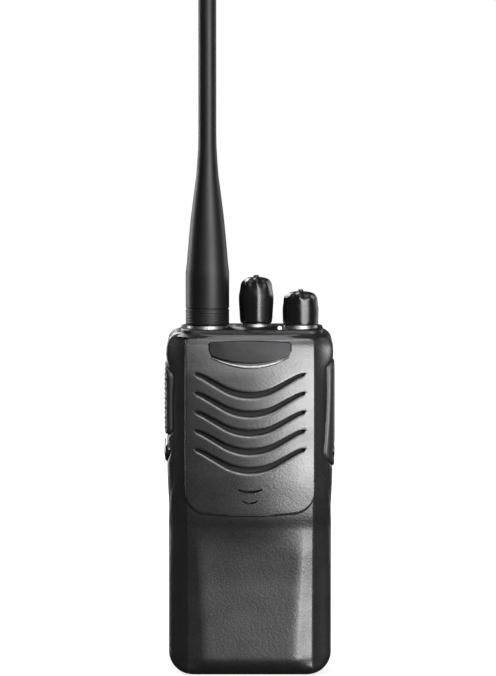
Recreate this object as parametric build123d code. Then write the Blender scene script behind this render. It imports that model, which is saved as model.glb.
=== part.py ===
from build123d import *
import math
import os

# A hand-held two way radio, standing upright. Millimetres, +Z up, the front faces -Y and +X is the
# viewer's right. The origin is the centre of the standing face: x = 0 is the middle of the radio and
# y = 0 is half way through the foot.

# ---------------------------------------------------------------- driving dimensions
# body
case_top = 108.2            # height of the case without the control island
foot_half_width = 25.3      # flank at the foot
grip_half_width = 26.2      # flank at the speaker
shoulder_half_width = 24.4  # flank at the very top
rear_face = 11.5            # rear face of the body
foot_front = -11.6          # front face at the foot
grip_front = -15.7          # front of the case behind the speaker panel
crown_front = -12.4         # front of the case at the top
wall = 1.6                  # moulded wall
floor_wall = 2.0            # wall at the foot and at the top
corner_radius = 7.2         # foot corners seen from the front
foot_radius = 6.0           # foot edges seen from the side
top_rear_radius = 5.0
top_edge_radius = 2.0
rear_corner_radius = 4.5
gap = 0.3                   # shadow gap between outer shells
seat = 0.15                 # clearance of a seated piece
slip = 0.05                 # radial clearance of a turning or sliding piece

# speaker panel on the front
panel_half_width = 19.4
panel_proud = 0.55
panel_lip_drop = 57.9       # from the case top down to the panel's lower lip
panel_top_drop = 1.9
panel_lip_sag = 3.0
panel_corner = 5.0
panel_crown = 1.25          # how far the panel bends back at its side edges
facet_foot = 14.4           # half width of the flat at the foot
facet_top = 16.4            # half width of the flat under the lip
facet_drop = 0.9

# grille
slot_count = 5
slot_pitch = 6.0
slot_height = 1.7
slot_radius = 14.0
slot_arm_angle = 27.0
slot_half_span = 16.6
grille_drop = 20.4          # case top to the middle of the first slot
mic_drop = 52.7             # case top to the microphone

# rear parting line, seen from the side
split_low = 1.7             # battery starts here at the foot
split_high = 6.25           # and here higher up
wing_top = 22.8
wing_slope = 7.0
battery_top_drop = 21.6
hood_drop = 6.6             # case top to the top of the rear panel
hood_radius = 5.4

# controls on the top, all on one line
control_y = -1.8
antenna_x = -13.25
volume_x = 1.92
channel_x = 15.8
island_left = -21.7
island_right = 22.8
island_front = -9.6
island_rear = 7.5
island_rise = 1.5
mound_rise = 0.6            # low mound under the volume knob
mound_foot = 8.0
mound_crown = 6.6

antenna_radius = 6.8
antenna_tip_radius = 2.8
antenna_length = 156.0
antenna_taper_start = 14.5
antenna_taper_end = 54.0
antenna_gap = 0.2
ferrule_radius = 3.3
ferrule_depth = 9.0
core_radius = 1.2
collar_radius = 6.3
collar_height = 0.8
receptacle_radius = 4.9
receptacle_flange = 6.4

knob_gap = 0.2
volume_radius = 5.45
volume_foot_radius = 4.9
volume_shoulder_radius = 4.2
volume_height = 14.1
channel_radius = 5.65
channel_foot_radius = 5.4
channel_shoulder_radius = 4.6
channel_height = 10.2
volume_ring_radius = 5.2
channel_ring_radius = 5.5
ring_height = 0.6
shaft_radius = 3.0
bushing_radius = 3.9
control_body = 10.6
control_depth = 7.0
led_x = 9.2
led_y = -7.0
led_radius = 0.6

# side controls
ptt_travel = 0.8
key_travel = 0.6
button_proud = 0.55
button_gap = 0.3
button_flange = 0.6         # how far a button's inner flange reaches past its opening
cover_proud = 0.5
cover_depth = 1.3           # depth of the cover's seat below the flank
cover_gap = 0.25
cover_screw_radius = 2.7
cover_screw_core = 1.5
cover_screw_length = 7.0
speaker_jack_drop = 16.2    # case top to the larger jack
mic_jack_drop = 27.6
jack_y = -3.3
speaker_plug_radius = 1.8
mic_plug_radius = 1.3
jack_length = 11.0
jack_body_radius = 3.0
label_depth = 0.25

# inside
speaker_radius = 18.0
speaker_front = -12.2
speaker_drop = 30.2
mic_radius = 3.0
chassis_front = 0.0
chassis_thick = 1.4
chassis_wall = 1.2
board_thick = 1.0
board_standoff = 1.6
board_top_drop = 14.2
shield_height = 3.0
screw_core = 1.0
screw_head = 2.0
battery_wall = 1.3
pack_front = 1.9            # front face of the battery pack's inner block
latch_travel = 2.5
latch_half_width = 7.0
latch_grip_height = 10.6
clip_hole_radius = 1.5
clip_hole_spacing = 18.0
pad_proud = 1.9             # raised latch pad on the battery's back
pad_height = 20.0
pad_half_width = 17.0

# ---------------------------------------------------------------- places that follow from them
far = 80.0                  # larger than the body, for cutters
island_top = case_top + island_rise
mound_top = island_top + mound_rise
panel_lip = case_top - panel_lip_drop
panel_top = case_top - panel_top_drop
battery_top = case_top - battery_top_drop
hood_z = case_top - hood_drop
wing_end = wing_top + wing_slope
top_under = case_top - floor_wall
speaker_z = case_top - speaker_drop
mic_z = case_top - mic_drop
first_slot_z = case_top - grille_drop

chassis_rear = chassis_front + chassis_thick
chassis_half_width = foot_half_width - wall - 0.7
pack_half_width = chassis_half_width - chassis_wall - gap
board_rear = chassis_front - board_standoff
board_front = board_rear - board_thick
board_half_width = chassis_half_width - 2.2
board_top = case_top - board_top_drop
deck_top = top_under - 0.1  # chassis deck under the top wall
deck_under = deck_top - chassis_wall
control_top = deck_under - 0.1
pack_low = wing_end + 0.3
pack_high = battery_top - 2.6

antenna_seat = island_top + collar_height + antenna_gap
volume_seat = mound_top + ring_height + knob_gap
channel_seat = island_top + ring_height + knob_gap

# side outlines as tight bands round circles: (y, z, radius), hung from the case top
ptt_circles = [
    (-2.6, case_top - 14.8, 4.9),
    (-5.2, case_top - 15.7, 4.0),
    (-7.8, case_top - 31.0, 1.7),
    (-2.7, case_top - 27.2, 5.0),
]
key_circles = [
    (-1.2, case_top - 35.9, 1.9),
    (-6.3, case_top - 38.2, 2.4),
    (-4.5, case_top - 39.3, 2.2),
]
cover_screw_y = -5.6
cover_screw_z = case_top - 37.9
cover_circles = [
    (cover_screw_y, cover_screw_z, 4.8),
    (-0.2, case_top - 24.2, 3.0),
    (-0.7, case_top - 13.2, 3.5),
    (-5.6, case_top - 13.2, 3.5),
]
case_boss_places = [(x, z) for x in (-19.0, 19.0) for z in (14.0, panel_lip + 5.5)]
board_screw_places = [(x, z) for x in (-16.0, 16.0) for z in (20.0, panel_lip - 4.0)]

# ---------------------------------------------------------------- small helpers
def block(x0, x1, y0, y1, z0, z1):
    """A box between two corners."""
    return Pos((x0 + x1) / 2, (y0 + y1) / 2, (z0 + z1) / 2) * Box(x1 - x0, y1 - y0, z1 - z0)


def upright(radius, z0, z1, x=0.0, y=0.0):
    """A round bar along Z."""
    return Pos(x, y, (z0 + z1) / 2) * Cylinder(radius, z1 - z0)


def along_y(radius, y0, y1, x, z):
    """A round bar along Y."""
    return Pos(x, (y0 + y1) / 2, z) * Rot(90, 0, 0) * Cylinder(radius, y1 - y0)


def along_x(radius, x0, x1, y, z):
    """A round bar along X."""
    return Pos((x0 + x1) / 2, y, z) * Rot(0, 90, 0) * Cylinder(radius, x1 - x0)


def from_front(sketch, y0, y1):
    """Extrudes an outline drawn as (x, z) from y0 to y1."""
    return extrude(Pos(0, y0, 0) * (Plane.XZ * sketch), amount=y1 - y0, dir=(0, 1, 0))


def from_side(sketch, x0, x1):
    """Extrudes an outline drawn as (y, z) from x0 to x1."""
    return extrude(Pos(x0, 0, 0) * (Plane.YZ * sketch), amount=x1 - x0, dir=(1, 0, 0))


def from_top(sketch, z0, z1):
    """Extrudes an outline drawn as (x, y) from z0 to z1."""
    return extrude(Pos(0, 0, z0) * sketch, amount=z1 - z0, dir=(0, 0, 1))


def hull_of_circles(circles, grow=0.0):
    """The outline that a tight band round several circles (a, b, radius) would take."""
    edges = [Pos(a, b) * CenterArc((0, 0), r + grow, 0, 360) for a, b, r in circles]
    return make_hull(edges)


def smooth(knots, z):
    """A smooth value through (z, value) knots, flat at both ends and never overshooting."""
    if z <= knots[0][0]:
        return knots[0][1]
    for (z0, v0), (z1, v1) in zip(knots, knots[1:]):
        if z <= z1:
            share = (z - z0) / (z1 - z0)
            i = knots.index((z0, v0))
            before = knots[i - 1] if i else knots[0]
            after = knots[i + 2] if i + 2 < len(knots) else knots[-1]
            step = z1 - z0
            m0 = slope_at(before, (z0, v0), (z1, v1)) * step
            m1 = slope_at((z0, v0), (z1, v1), after) * step
            h = share * share * (3 - 2 * share)
            return (
                v0 * (1 - h)
                + v1 * h
                + m0 * share * (1 - share) ** 2
                - m1 * share**2 * (1 - share)
            )
    return knots[-1][1]


def slope_at(a, b, c):
    """The limited slope at knot b between its neighbours."""
    if a == b or b == c:
        return 0.0
    left = (b[1] - a[1]) / (b[0] - a[0])
    right = (c[1] - b[1]) / (c[0] - b[0])
    if left * right <= 0:
        return 0.0
    return 2 * left * right / (left + right)


# ---------------------------------------------------------------- the outer body
def half_width(z):
    knots = [
        (0.0, foot_half_width),
        (panel_lip - 8, foot_half_width),
        (panel_lip + 16, grip_half_width),
        (case_top - 9, grip_half_width - 0.1),
        (case_top, shoulder_half_width),
    ]
    return smooth(knots, z)


def case_front(z):
    """Front of the case on its middle line, without the speaker panel."""
    knots = [
        (0.0, foot_front),
        (panel_lip - 24, foot_front),
        (panel_lip - 7, foot_front - 1.2),
        (panel_lip + 2, grip_front + 1.3),
        (panel_lip + 20, grip_front),
        (case_top - 21, grip_front + 0.1),
        (case_top - 6, crown_front - 0.7),
        (case_top, crown_front),
    ]
    return smooth(knots, z)


def crease_half_width(z):
    knots = [(0.0, facet_foot), (panel_lip, facet_top)]
    return smooth(knots, z)


def body_section(z, inset):
    """Outline of the body at one height, with the same ten edges at every height."""
    side = half_width(z) - inset
    front = case_front(z) + inset
    rear = rear_face - inset
    edge_x = panel_half_width - 0.45 * inset
    edge_y = front + facet_drop
    crease_x = crease_half_width(z) - 0.2 * inset
    flank_y = edge_y + 8.0
    r = rear_corner_radius - 0.6 * inset

    def half(s):
        corner = Bezier(
            (s * edge_x, edge_y, z),
            (s * (edge_x + 0.5 * (side - edge_x)), edge_y + 1.6, z),
            (s * side, flank_y - 4.2, z),
            (s * side, flank_y, z),
        )
        flank = Line((s * side, flank_y, z), (s * side, rear - r, z))
        k = 0.5523 * r
        rear_corner = Bezier(
            (s * side, rear - r, z),
            (s * side, rear - r + k, z),
            (s * (side - r + k), rear, z),
            (s * (side - r), rear, z),
        )
        facet = Line((s * crease_x, front + 0.1, z), (s * edge_x, edge_y, z))
        return facet, corner, flank, rear_corner

    right = half(1)
    left = half(-1)
    front_edge = Bezier((-crease_x, front + 0.1, z), (0, front - 0.1, z), (crease_x, front + 0.1, z))
    rear_edge = Line((side - r, rear, z), (-(side - r), rear, z))
    return Wire([front_edge, *right, rear_edge, *reversed(left)])


def section_heights():
    """Heights of the sections: closer together where the front bends."""
    lip = panel_lip
    return [
        -1.0,
        lip * 0.3,
        lip - 24,
        lip - 14,
        lip - 6,
        lip + 1,
        lip + 9,
        lip + 20,
        lip + 32,
        case_top - 16,
        case_top - 9,
        case_top - 4,
        case_top + 1,
    ]


def lofted_body(inset=0.0):
    wires = [body_section(z, inset) for z in section_heights()]
    return Solid.make_loft(wires, False)


def front_outline(inset=0.0):
    """Front view limits that round the foot corners and the shoulders."""
    foot = foot_half_width - inset
    top = case_top - (floor_wall if inset else 0.0)
    bottom = floor_wall if inset else 0.0
    shoulder = shoulder_half_width - inset
    wide = grip_half_width + 4
    low = Pos(0, (bottom + far) / 2) * Rectangle(2 * foot, far - bottom)
    low = fillet(low.vertices().group_by(Axis.Y)[0], corner_radius - inset)
    low = low & (Pos(0, 12.5) * Rectangle(2 * wide, 25.0))
    high = Polyline(
        (-wide, 20.0),
        (wide, 20.0),
        (wide, top - 12.0),
        (shoulder + 3.0, top - 12.0),
        (shoulder, top),
        (-shoulder, top),
        (-shoulder - 3.0, top - 12.0),
        (-wide, top - 12.0),
        close=True,
    )
    high = make_face(high)
    high = fillet(high.vertices().group_by(Axis.Y)[-1], top_edge_radius)
    return low + high


def side_outline(inset=0.0):
    """Side view limits that round the foot and the top edges."""
    top = case_top - (floor_wall if inset else 0.0)
    bottom = floor_wall if inset else 0.0
    rear = rear_face - inset
    foot_y = foot_front + inset
    crown_y = crown_front + inset
    outline = make_face(
        Polyline(
            (foot_y, bottom),
            (rear, bottom),
            (rear, top),
            (crown_y, top),
            (crown_y - 1.6, top - 8.0),
            (crown_y - 6.0, top - 14.0),
            (foot_y - 8.0, 20.0),
            (foot_y, 14.0),
            close=True,
        )
    )
    low = outline.vertices().group_by(Axis.Y)[0]
    outline = fillet(low, foot_radius - inset)
    high = outline.vertices().group_by(Axis.Y)[-1].sort_by(Axis.X)
    outline = fillet([high[-1]], top_rear_radius - inset)
    front_top = outline.vertices().group_by(Axis.Y)[-1].sort_by(Axis.X)[0]
    return fillet([front_top], top_edge_radius)


def rounded_body(inset=0.0):
    body = lofted_body(inset)
    body = body & from_front(front_outline(inset), -far, far)
    return body & from_side(side_outline(inset), -far, far)


# ---------------------------------------------------------------- regions seen from the side
def battery_region(shift):
    """Behind the parting line and under the rear panel; shift moves every edge into the battery."""
    return make_face(
        Polyline(
            (split_low + shift, -far),
            (split_low + shift, wing_top - shift / 2),
            (split_high + shift, wing_end - shift / 2),
            (split_high + shift, battery_top - shift),
            (far, battery_top - shift),
            (far, -far),
            close=True,
        )
    )


def rear_region(shift):
    """Everything behind the parting line, up to the curved edge under the hood."""
    low = battery_region(shift)
    high = Pos(0, (hood_z + wing_end) / 2) * Rectangle(2 * far, hood_z - shift - wing_end)
    high = Pos(far + split_high + shift, (hood_z - shift + wing_end) / 2) * Rectangle(
        2 * far, hood_z - shift - wing_end
    )
    top_front = high.vertices().group_by(Axis.Y)[-1].sort_by(Axis.X)[0]
    return low + fillet([top_front], hood_radius)


def plain_front_shell(outer):
    """The case without its openings: everything in front of the parting line."""
    return outer - from_side(rear_region(0), -far, far)


# ---------------------------------------------------------------- outlines seen from the front
def panel_outline():
    w = panel_half_width
    low = panel_lip + panel_lip_sag
    sag = ThreePointArc((-w, low), (0, panel_lip), (w, low))
    rest = Polyline((w, low), (w, panel_top), (-w, panel_top), (-w, low))
    face = make_face(Wire(sag.edges() + rest.edges()))
    corners = face.vertices().group_by(Axis.Y)[0:2]
    low_corners = [v for group in corners for v in group if abs(v.X) > w - 0.1 and v.Y < low + 1]
    return fillet(low_corners, panel_corner)


def slot_outline(z, height):
    """One smile-shaped slot: an arc with straight tapered arms."""
    angle = math.radians(slot_arm_angle)
    centre = z + slot_radius
    bend_x = slot_radius * math.sin(angle)
    bend_z = centre - slot_radius * math.cos(angle)
    reach = slot_half_span - bend_x
    tip = (slot_half_span, bend_z + reach * math.tan(angle))
    nx = math.sin(angle) * height / 2
    nz = math.cos(angle) * height / 2
    tip_share = 0.55
    low = ThreePointArc(
        (-bend_x - nx, bend_z - nz), (0, z - height / 2), (bend_x + nx, bend_z - nz)
    )
    high = ThreePointArc(
        (-bend_x + nx, bend_z + nz), (0, z + height / 2), (bend_x - nx, bend_z + nz)
    )
    sides = []
    for s in (-1, 1):
        low_tip = (s * (tip[0] + nx * tip_share), tip[1] - nz * tip_share)
        high_tip = (s * (tip[0] - nx * tip_share), tip[1] + nz * tip_share)
        sides += Line((s * (bend_x + nx), bend_z - nz), low_tip).edges()
        sides += Line(low_tip, high_tip).edges()
        sides += Line(high_tip, (s * (bend_x - nx), bend_z + nz)).edges()
    return make_face(Wire(low.edges() + high.edges() + sides))


def badge_outline():
    top = case_top - 4.6
    outline = Polyline((-12.0, top - 4.1), (-12.8, top), (12.8, top), (12.0, top - 4.1))
    sag = ThreePointArc((-12.0, top - 4.1), (0, top - 6.4), (12.0, top - 4.1))
    return make_face(Wire(outline.edges() + sag.edges()))


def trim_outline():
    top = case_top - 8.9
    high = ThreePointArc((-12.0, top), (0, top - 2.4), (12.0, top))
    low = ThreePointArc((-12.0, top - 0.3), (0, top - 3.3), (12.0, top - 0.3))
    ends = [Line((s * 12.0, top), (s * 12.0, top - 0.3)) for s in (-1, 1)]
    return make_face(Wire(high.edges() + low.edges() + ends[0].edges() + ends[1].edges()))


def label_outline(shrink=0.0):
    """Label on the flank as (y, z); its lower rear corner follows the parting line."""
    low = wing_top + 1.6 + shrink
    rear = 4.5 - shrink
    return make_face(
        Polyline(
            (-2.8 + shrink, low),
            (0.3, low),
            (rear, low + 5.9),
            (rear, low + 34.9 - 2 * shrink),
            (-2.8 + shrink, low + 34.9 - 2 * shrink),
            close=True,
        )
    )


def skin_patch(outline, proud, depth, side):
    """A plate that follows the flank, from proud outside it to depth inside it."""
    bar = from_side(outline, 15.0 if side > 0 else -40.0, 40.0 if side > 0 else -15.0)
    return (bar & lofted_body(-proud)) - lofted_body(depth)


def face_patch(outline, proud, depth):
    """A plate that follows the front, from proud outside the case to depth inside it."""
    bar = from_front(outline, -40.0, -4.0)
    return (bar & lofted_body(-proud)) - lofted_body(depth)


# ---------------------------------------------------------------- case
def control_island():
    w = (island_right - island_left) / 2
    d = (island_rear - island_front) / 2
    at = Pos((island_right + island_left) / 2, (island_rear + island_front) / 2)
    outline = at * RectangleRounded(2 * w, 2 * d, 4.0)
    island = from_top(outline, case_top - 1.0, island_top)
    island = chamfer(island.faces().sort_by(Axis.Z)[-1].edges(), 0.6)
    mound = Pos(volume_x, control_y, (island_top + mound_top) / 2) * Cone(
        mound_foot, mound_crown, mound_rise
    )
    return island + mound


def case_bosses():
    bosses = [along_y(2.5, -14.0, chassis_front - 0.05, x, z) for x, z in case_boss_places]
    bosses.append(along_x(3.6, 19.0, 25.5, cover_screw_y, cover_screw_z))
    return bosses


def pocket_liner():
    """Thicker wall behind the jack cover's seat."""
    bar = from_side(hull_of_circles(cover_circles, 1.2), 20.0, 40.0)
    return (bar & lofted_body(0.2)) - lofted_body(cover_depth + 1.2)


def top_holes():
    z0 = top_under - 5.0
    return [
        upright(receptacle_radius + 0.1, z0, far * 2, antenna_x, control_y),
        upright(bushing_radius + 0.1, z0, far * 2, volume_x, control_y),
        upright(bushing_radius + 0.1, z0, far * 2, channel_x, control_y),
        upright(led_radius + slip, z0, far * 2, led_x, led_y),
    ]


def grille_cuts():
    cuts = []
    for i in range(slot_count):
        outline = slot_outline(first_slot_z - i * slot_pitch, slot_height)
        cuts.append(from_front(outline, -30.0, speaker_front - 0.7))
    for z, width, height in ((mic_z + 2.7, 7.6, 0.8), (mic_z - 1.0, 5.0, 0.6)):
        cuts.append(block(-width / 2, width / 2, -30.0, -12.0, z - height / 2, z + height / 2))
    return cuts


def finger_scoop():
    """Shallow scoop in the flank above the jack cover."""
    return Pos(foot_half_width + 10.1, -4.6, case_top - 8.4) * Sphere(11.0)


def front_case(outer, inner):
    panel = from_front(panel_outline(), -40.0, -7.0) & lofted_body(-panel_proud)
    panel = panel & from_side(side_outline(-panel_proud), -far, far)
    case = plain_front_shell(outer + panel) - inner
    case = case + [boss & outer for boss in case_bosses()]
    case = case + pocket_liner()
    case = case + control_island()
    case = case - top_holes()
    case = case - grille_cuts()
    case = case - finger_scoop()
    case = case - face_patch(badge_outline(), 3.0, -panel_proud + 0.5)
    case = case - face_patch(trim_outline(), 3.0, -panel_proud + 0.5)
    case = case - from_side(hull_of_circles(ptt_circles, button_gap), -40.0, -20.0)
    case = case - from_side(hull_of_circles(key_circles, button_gap), -40.0, -20.0)
    case = case - skin_patch(hull_of_circles(cover_circles, cover_gap), 5.0, cover_depth + 0.05, 1)
    case = case - skin_patch(label_outline(), 3.0, label_depth, 1)
    case = case - along_x(cover_screw_core + slip, 18.0, 30.0, cover_screw_y, cover_screw_z)
    for z in (case_top - speaker_jack_drop, case_top - mic_jack_drop):
        case = case - along_x(2.4, 20.0, 30.0, jack_y, z)
    for x, z in case_boss_places:
        case = case - along_y(screw_core, -9.0, 5.0, x, z)
    return case


def badge_plate():
    return face_patch(badge_outline(), panel_proud + 0.25, -panel_proud + 0.5)


def badge_trim():
    return face_patch(trim_outline(), panel_proud + 0.35, -panel_proud + 0.5)


def label_plate():
    return skin_patch(label_outline(0.1), -0.05, label_depth, 1)


def led_lens():
    return upright(led_radius, deck_top + 0.05, island_top + 0.1, led_x, led_y)


# ---------------------------------------------------------------- rear panel and battery shells
def rear_panel(outer, inner):
    region = rear_region(gap) & (Pos(0, battery_top + far) * Rectangle(4 * far, 2 * far))
    panel = outer & from_side(region, -far, far)
    panel = panel - inner
    z = clip_hole_z()
    for s in (-1, 1):
        x = s * clip_hole_spacing / 2
        panel = panel + along_y(3.2, split_high + 0.6, rear_face - 1.0, x, z)
        panel = panel - along_y(clip_hole_radius, 0.0, rear_face + 5.0, x, z)
    rib_z = battery_top + 8.4
    panel = panel + block(-15.0, 15.0, rear_face - 1.0, rear_face + 0.7, rib_z - 0.8, rib_z + 0.8)
    return panel


def clip_hole_z():
    return battery_top + 4.2


def latch_pad():
    """Raised pad on the battery's back that carries the latch and laps over the rear panel."""
    z1 = battery_top + 1.6
    z0 = z1 - pad_height
    y = rear_face
    outline = make_face(
        Polyline(
            (y - 2.4, z0 + 1.6),
            (y, z0),
            (y + pad_proud, z0 + 1.4),
            (y + pad_proud, z1 - 3.2),
            (y + 0.5, z1),
            (y + 0.25, z1),
            (y + 0.25, battery_top - gap),
            (y - 2.4, battery_top - gap),
            close=True,
        )
    )
    return from_side(outline, -pad_half_width, pad_half_width)


def latch_top():
    return battery_top - 2.0


def latch_cavity():
    z1 = latch_top() + 0.3
    z0 = z1 - latch_grip_height - latch_travel - 1.4
    w = latch_half_width
    y = rear_face
    mouth = block(-w - 0.3, w + 0.3, y - 0.2, y + 5.0, z0, z1)
    track = block(-w - 1.6, w + 1.6, y - 1.25, y - 0.1, z0, z1)
    return mouth + track


def charger_grooves():
    """Guide grooves on both flanks near the foot."""
    grooves = []
    for s in (-1, 1):
        x0, x1 = sorted((s * (foot_half_width - 1.0), s * 40.0))
        grooves.append(block(x0, x1, 7.6, 9.6, 5.5, 17.5))
        outline = make_face(
            Polyline(
                (4.3, 19.1), (6.3, 19.1), (6.3, 6.6), (4.4, -1.0), (2.5, -1.0), (4.3, 7.2), close=True
            )
        )
        grooves.append(from_side(outline, x0, x1))
    return grooves


def battery_hollow():
    """Room inside the battery's rear half; its walls are flat apart from the rear corners."""
    t = battery_wall
    w = foot_half_width - t - 0.2
    room = from_side(battery_region(gap + t), -w, w)
    room = room & block(-w, w, 0.0, rear_face - t, floor_wall, battery_top - gap - t)
    rear_edges = room.edges().filter_by(Axis.Z).group_by(Axis.Y)[-1]
    room = fillet(rear_edges, rear_corner_radius - t)
    low_edges = room.edges().filter_by(Axis.Y).group_by(Axis.Z)[0]
    return fillet(low_edges, corner_radius - t)


def battery_rear_case(outer):
    shell = outer & from_side(battery_region(gap), -far, far)
    shell = shell - battery_hollow()
    w = pack_half_width - battery_wall
    shell = shell - block(-w, w, 0.0, split_high + gap + 2.0, pack_low + battery_wall, pack_high - 1.3)
    for s in (-1, 1):
        ends = sorted((s * (foot_half_width - 2.2), s * (foot_half_width - 0.3)))
        shell = shell + block(ends[0], ends[1], 3.2, rear_face - 3.0, 4.0, wing_top - 2.0)
    shell = shell + latch_pad()
    shell = shell - latch_cavity()
    shell = shell - charger_grooves()
    z = charge_contact_z()
    for x in (-9.0, 9.0):
        shell = shell - along_y(2.0, rear_face - 0.5, rear_face + 3.0, x, z)
    return shell


def charge_contact_z():
    return foot_radius + 8.0


def battery_front_case():
    w = pack_half_width
    tray = block(-w, w, pack_front, split_high + gap, pack_low, pack_high)
    t = battery_wall
    tray = tray - block(-w + t, w - t, pack_front + t, far, pack_low + t, pack_high - t)
    for x in (-6.0, 0.0, 6.0):
        tray = tray - block(x - 1.6, x + 1.6, 0.0, pack_front + 0.4, contact_z() - 3, contact_z() + 3)
    return tray


def contact_z():
    return panel_lip + 12.0


def battery_cells():
    """Two flat cells side by side."""
    w = pack_half_width - battery_wall - 0.4
    z0 = pack_low + battery_wall + 0.6
    z1 = pack_high - battery_wall - 4.0
    y0 = pack_front + battery_wall + 0.3
    y1 = rear_face - 2.9
    cells = []
    for s in (-1, 1):
        x0, x1 = sorted((s * 0.3, s * w))
        cell = block(x0, x1, y0, y1, z0, z1)
        cells.append(fillet(cell.edges().filter_by(Axis.Z), 1.2))
    return cells


def cell_tabs():
    """Nickel strips on the cells' upper ends."""
    z = pack_high - battery_wall - 4.0
    y = (pack_front + rear_face) / 2
    return [block(x - 2.0, x + 2.0, y - 2.2, y + 2.2, z, z + 0.3) for x in (-15.0, -5.0, 5.0, 15.0)]


def battery_board():
    z = pack_high - battery_wall - 2.6
    return block(-17.0, 17.0, pack_front + battery_wall + 0.3, rear_face - 4.0, z, z + 0.8)


def battery_contacts():
    z = contact_z()
    return [block(x - 1.5, x + 1.5, pack_front + 0.1, pack_front + 0.4, z - 2.8, z + 2.8)
            for x in (-6.0, 0.0, 6.0)]


def charging_contacts():
    z = charge_contact_z()
    return [along_y(1.9, rear_face - 0.5, rear_face - 0.1, x, z) for x in (-9.0, 9.0)]


def battery_latch():
    """Ribbed thumb slider, held in its track by two wings."""
    z1 = latch_top()
    z0 = z1 - latch_grip_height
    w = latch_half_width
    y = rear_face
    latch = block(-w, w, y - 1.0, y + 1.5, z0, z1)
    latch = latch + block(-w - 1.2, w + 1.2, y - 1.05, y - 0.35, z0, z1)
    for i in range(4):
        z = z0 + 1.9 + i * 2.2
        latch = latch + block(-w + 0.8, w - 0.8, y + 1.5, y + 2.0, z - 0.5, z + 0.5)
    return latch


def latch_spring():
    """Two short coil springs under the slider, as plain sleeves."""
    z1 = latch_top() - latch_grip_height
    z0 = z1 - latch_travel - 1.1
    y = rear_face - 0.7
    return [upright(0.5, z0, z1, x, y) - upright(0.25, z0 - 1, z1 + 1, x, y) for x in (-6.0, 6.0)]


# ---------------------------------------------------------------- chassis and electronics
def deck_outline(half):
    """The deck under the top wall, with ends that slope away from the case's rounded shoulders."""
    return make_face(
        Polyline(
            (-half, deck_under),
            (half, deck_under),
            (half, deck_under + 0.1),
            (half - 1.9, deck_top),
            (-half + 1.9, deck_top),
            (-half, deck_under + 0.1),
            close=True,
        )
    )


def chassis():
    z0 = floor_wall + 1.0
    z1 = panel_lip + 45.0
    w = chassis_half_width
    narrow = w - 0.7
    plate = block(-w, w, chassis_front, chassis_rear, z0, panel_lip + 13.0)
    plate = plate + block(-narrow, narrow, chassis_front, chassis_rear, z0, z1)
    for s in (-1, 1):
        x0, x1 = sorted((s * w, s * (w - chassis_wall)))
        plate = plate + block(x0, x1, chassis_front, split_high - 0.4, wing_end + 1.0, panel_lip + 13.0)
        x0, x1 = sorted((s * narrow, s * (narrow - 0.9)))
        plate = plate + block(x0, x1, chassis_front, chassis_rear, z1 - 6.0, deck_under + 0.1)
    plate = plate & from_front(front_outline(wall + 0.7), -far, far)
    plate = plate + from_front(deck_outline(narrow), -8.5, chassis_rear)
    for x, radius in ((antenna_x, receptacle_radius), (volume_x, bushing_radius), (channel_x, bushing_radius)):
        plate = plate - upright(radius + 0.1, deck_under - 1, deck_top + 1, x, control_y)
    plate = plate - upright(led_radius + 0.3, deck_under - 1, deck_top + 1, led_x, led_y)
    for x, z in board_screw_places:
        plate = plate + along_y(2.2, board_rear, chassis_front + 0.1, x, z)
        plate = plate - along_y(screw_core, board_rear - 1, chassis_rear - 0.3, x, z)
    for x, z in case_boss_places:
        plate = plate - along_y(screw_core + 0.2, -2.0, 5.0, x, z)
        plate = plate - along_y(screw_head + 0.2, chassis_rear - 0.9, 5.0, x, z)
    z = contact_z()
    plate = plate - block(-9.1, 9.1, -1.0, 5.0, z - 3.6, z + 3.6)
    return plate


def chassis_screws():
    screws = []
    for x, z in case_boss_places:
        head = along_y(screw_head, chassis_rear - 0.9, chassis_rear - 0.1, x, z)
        slot = block(x - 1.3, x + 1.3, chassis_rear - 0.5, 5.0, z - 0.25, z + 0.25)
        screws.append(head + along_y(screw_core, -8.0, chassis_rear - 0.8, x, z) - slot)
    return screws


def board_screws():
    screws = []
    for x, z in board_screw_places:
        head = along_y(1.8, board_front - 1.0, board_front, x, z)
        slot = block(x - 1.2, x + 1.2, board_front - 5.0, board_front - 0.6, z - 0.25, z + 0.25)
        screws.append(head + along_y(screw_core, board_front - 0.5, chassis_rear - 0.4, x, z) - slot)
    return screws


def main_board():
    w = board_half_width
    board = block(-w, w, board_front, board_rear, floor_wall + 3.0, board_top)
    board = board - block(10.4, w + 1, -9.0, 0.0, case_top - 31.8, board_top + 1)
    board = board - block(18.6, w + 1, -9.0, 0.0, cover_screw_z - 4.5, board_top + 1)
    board = board - block(-w - 1, -w + 1.4, -9.0, 0.0, case_top - 42.2, board_top + 1)
    for x, z in case_boss_places:
        board = board - along_y(2.8, -9.0, 0.0, x, z)
    for x, z in board_screw_places:
        board = board - along_y(screw_core + 0.1, -9.0, 0.0, x, z)
    return board


def shield_cans():
    y0 = board_front - shield_height
    cans = []
    middle = panel_lip - 26.0
    for x0, x1, z0, z1 in ((-12.8, 12.8, 8.0, middle), (-12.8, -1.0, middle + 2, panel_lip - 2)):
        can = block(x0, x1, y0, board_front, z0, z1)
        can = fillet(can.faces().sort_by(Axis.Y)[0].edges(), 0.4)
        cans.append(can - block(x0 + 0.3, x1 - 0.3, y0 + 0.3, 0.0, z0 + 0.3, z1 - 0.3))
    return cans


def processor_chips():
    chips = []
    for x0, z0, size in ((1.5, panel_lip - 22.0, 9.0), (2.0, panel_lip - 9.5, 6.0)):
        chips.append(block(x0, x0 + size, board_front - 1.2, board_front, z0, z0 + size))
    return chips


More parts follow.
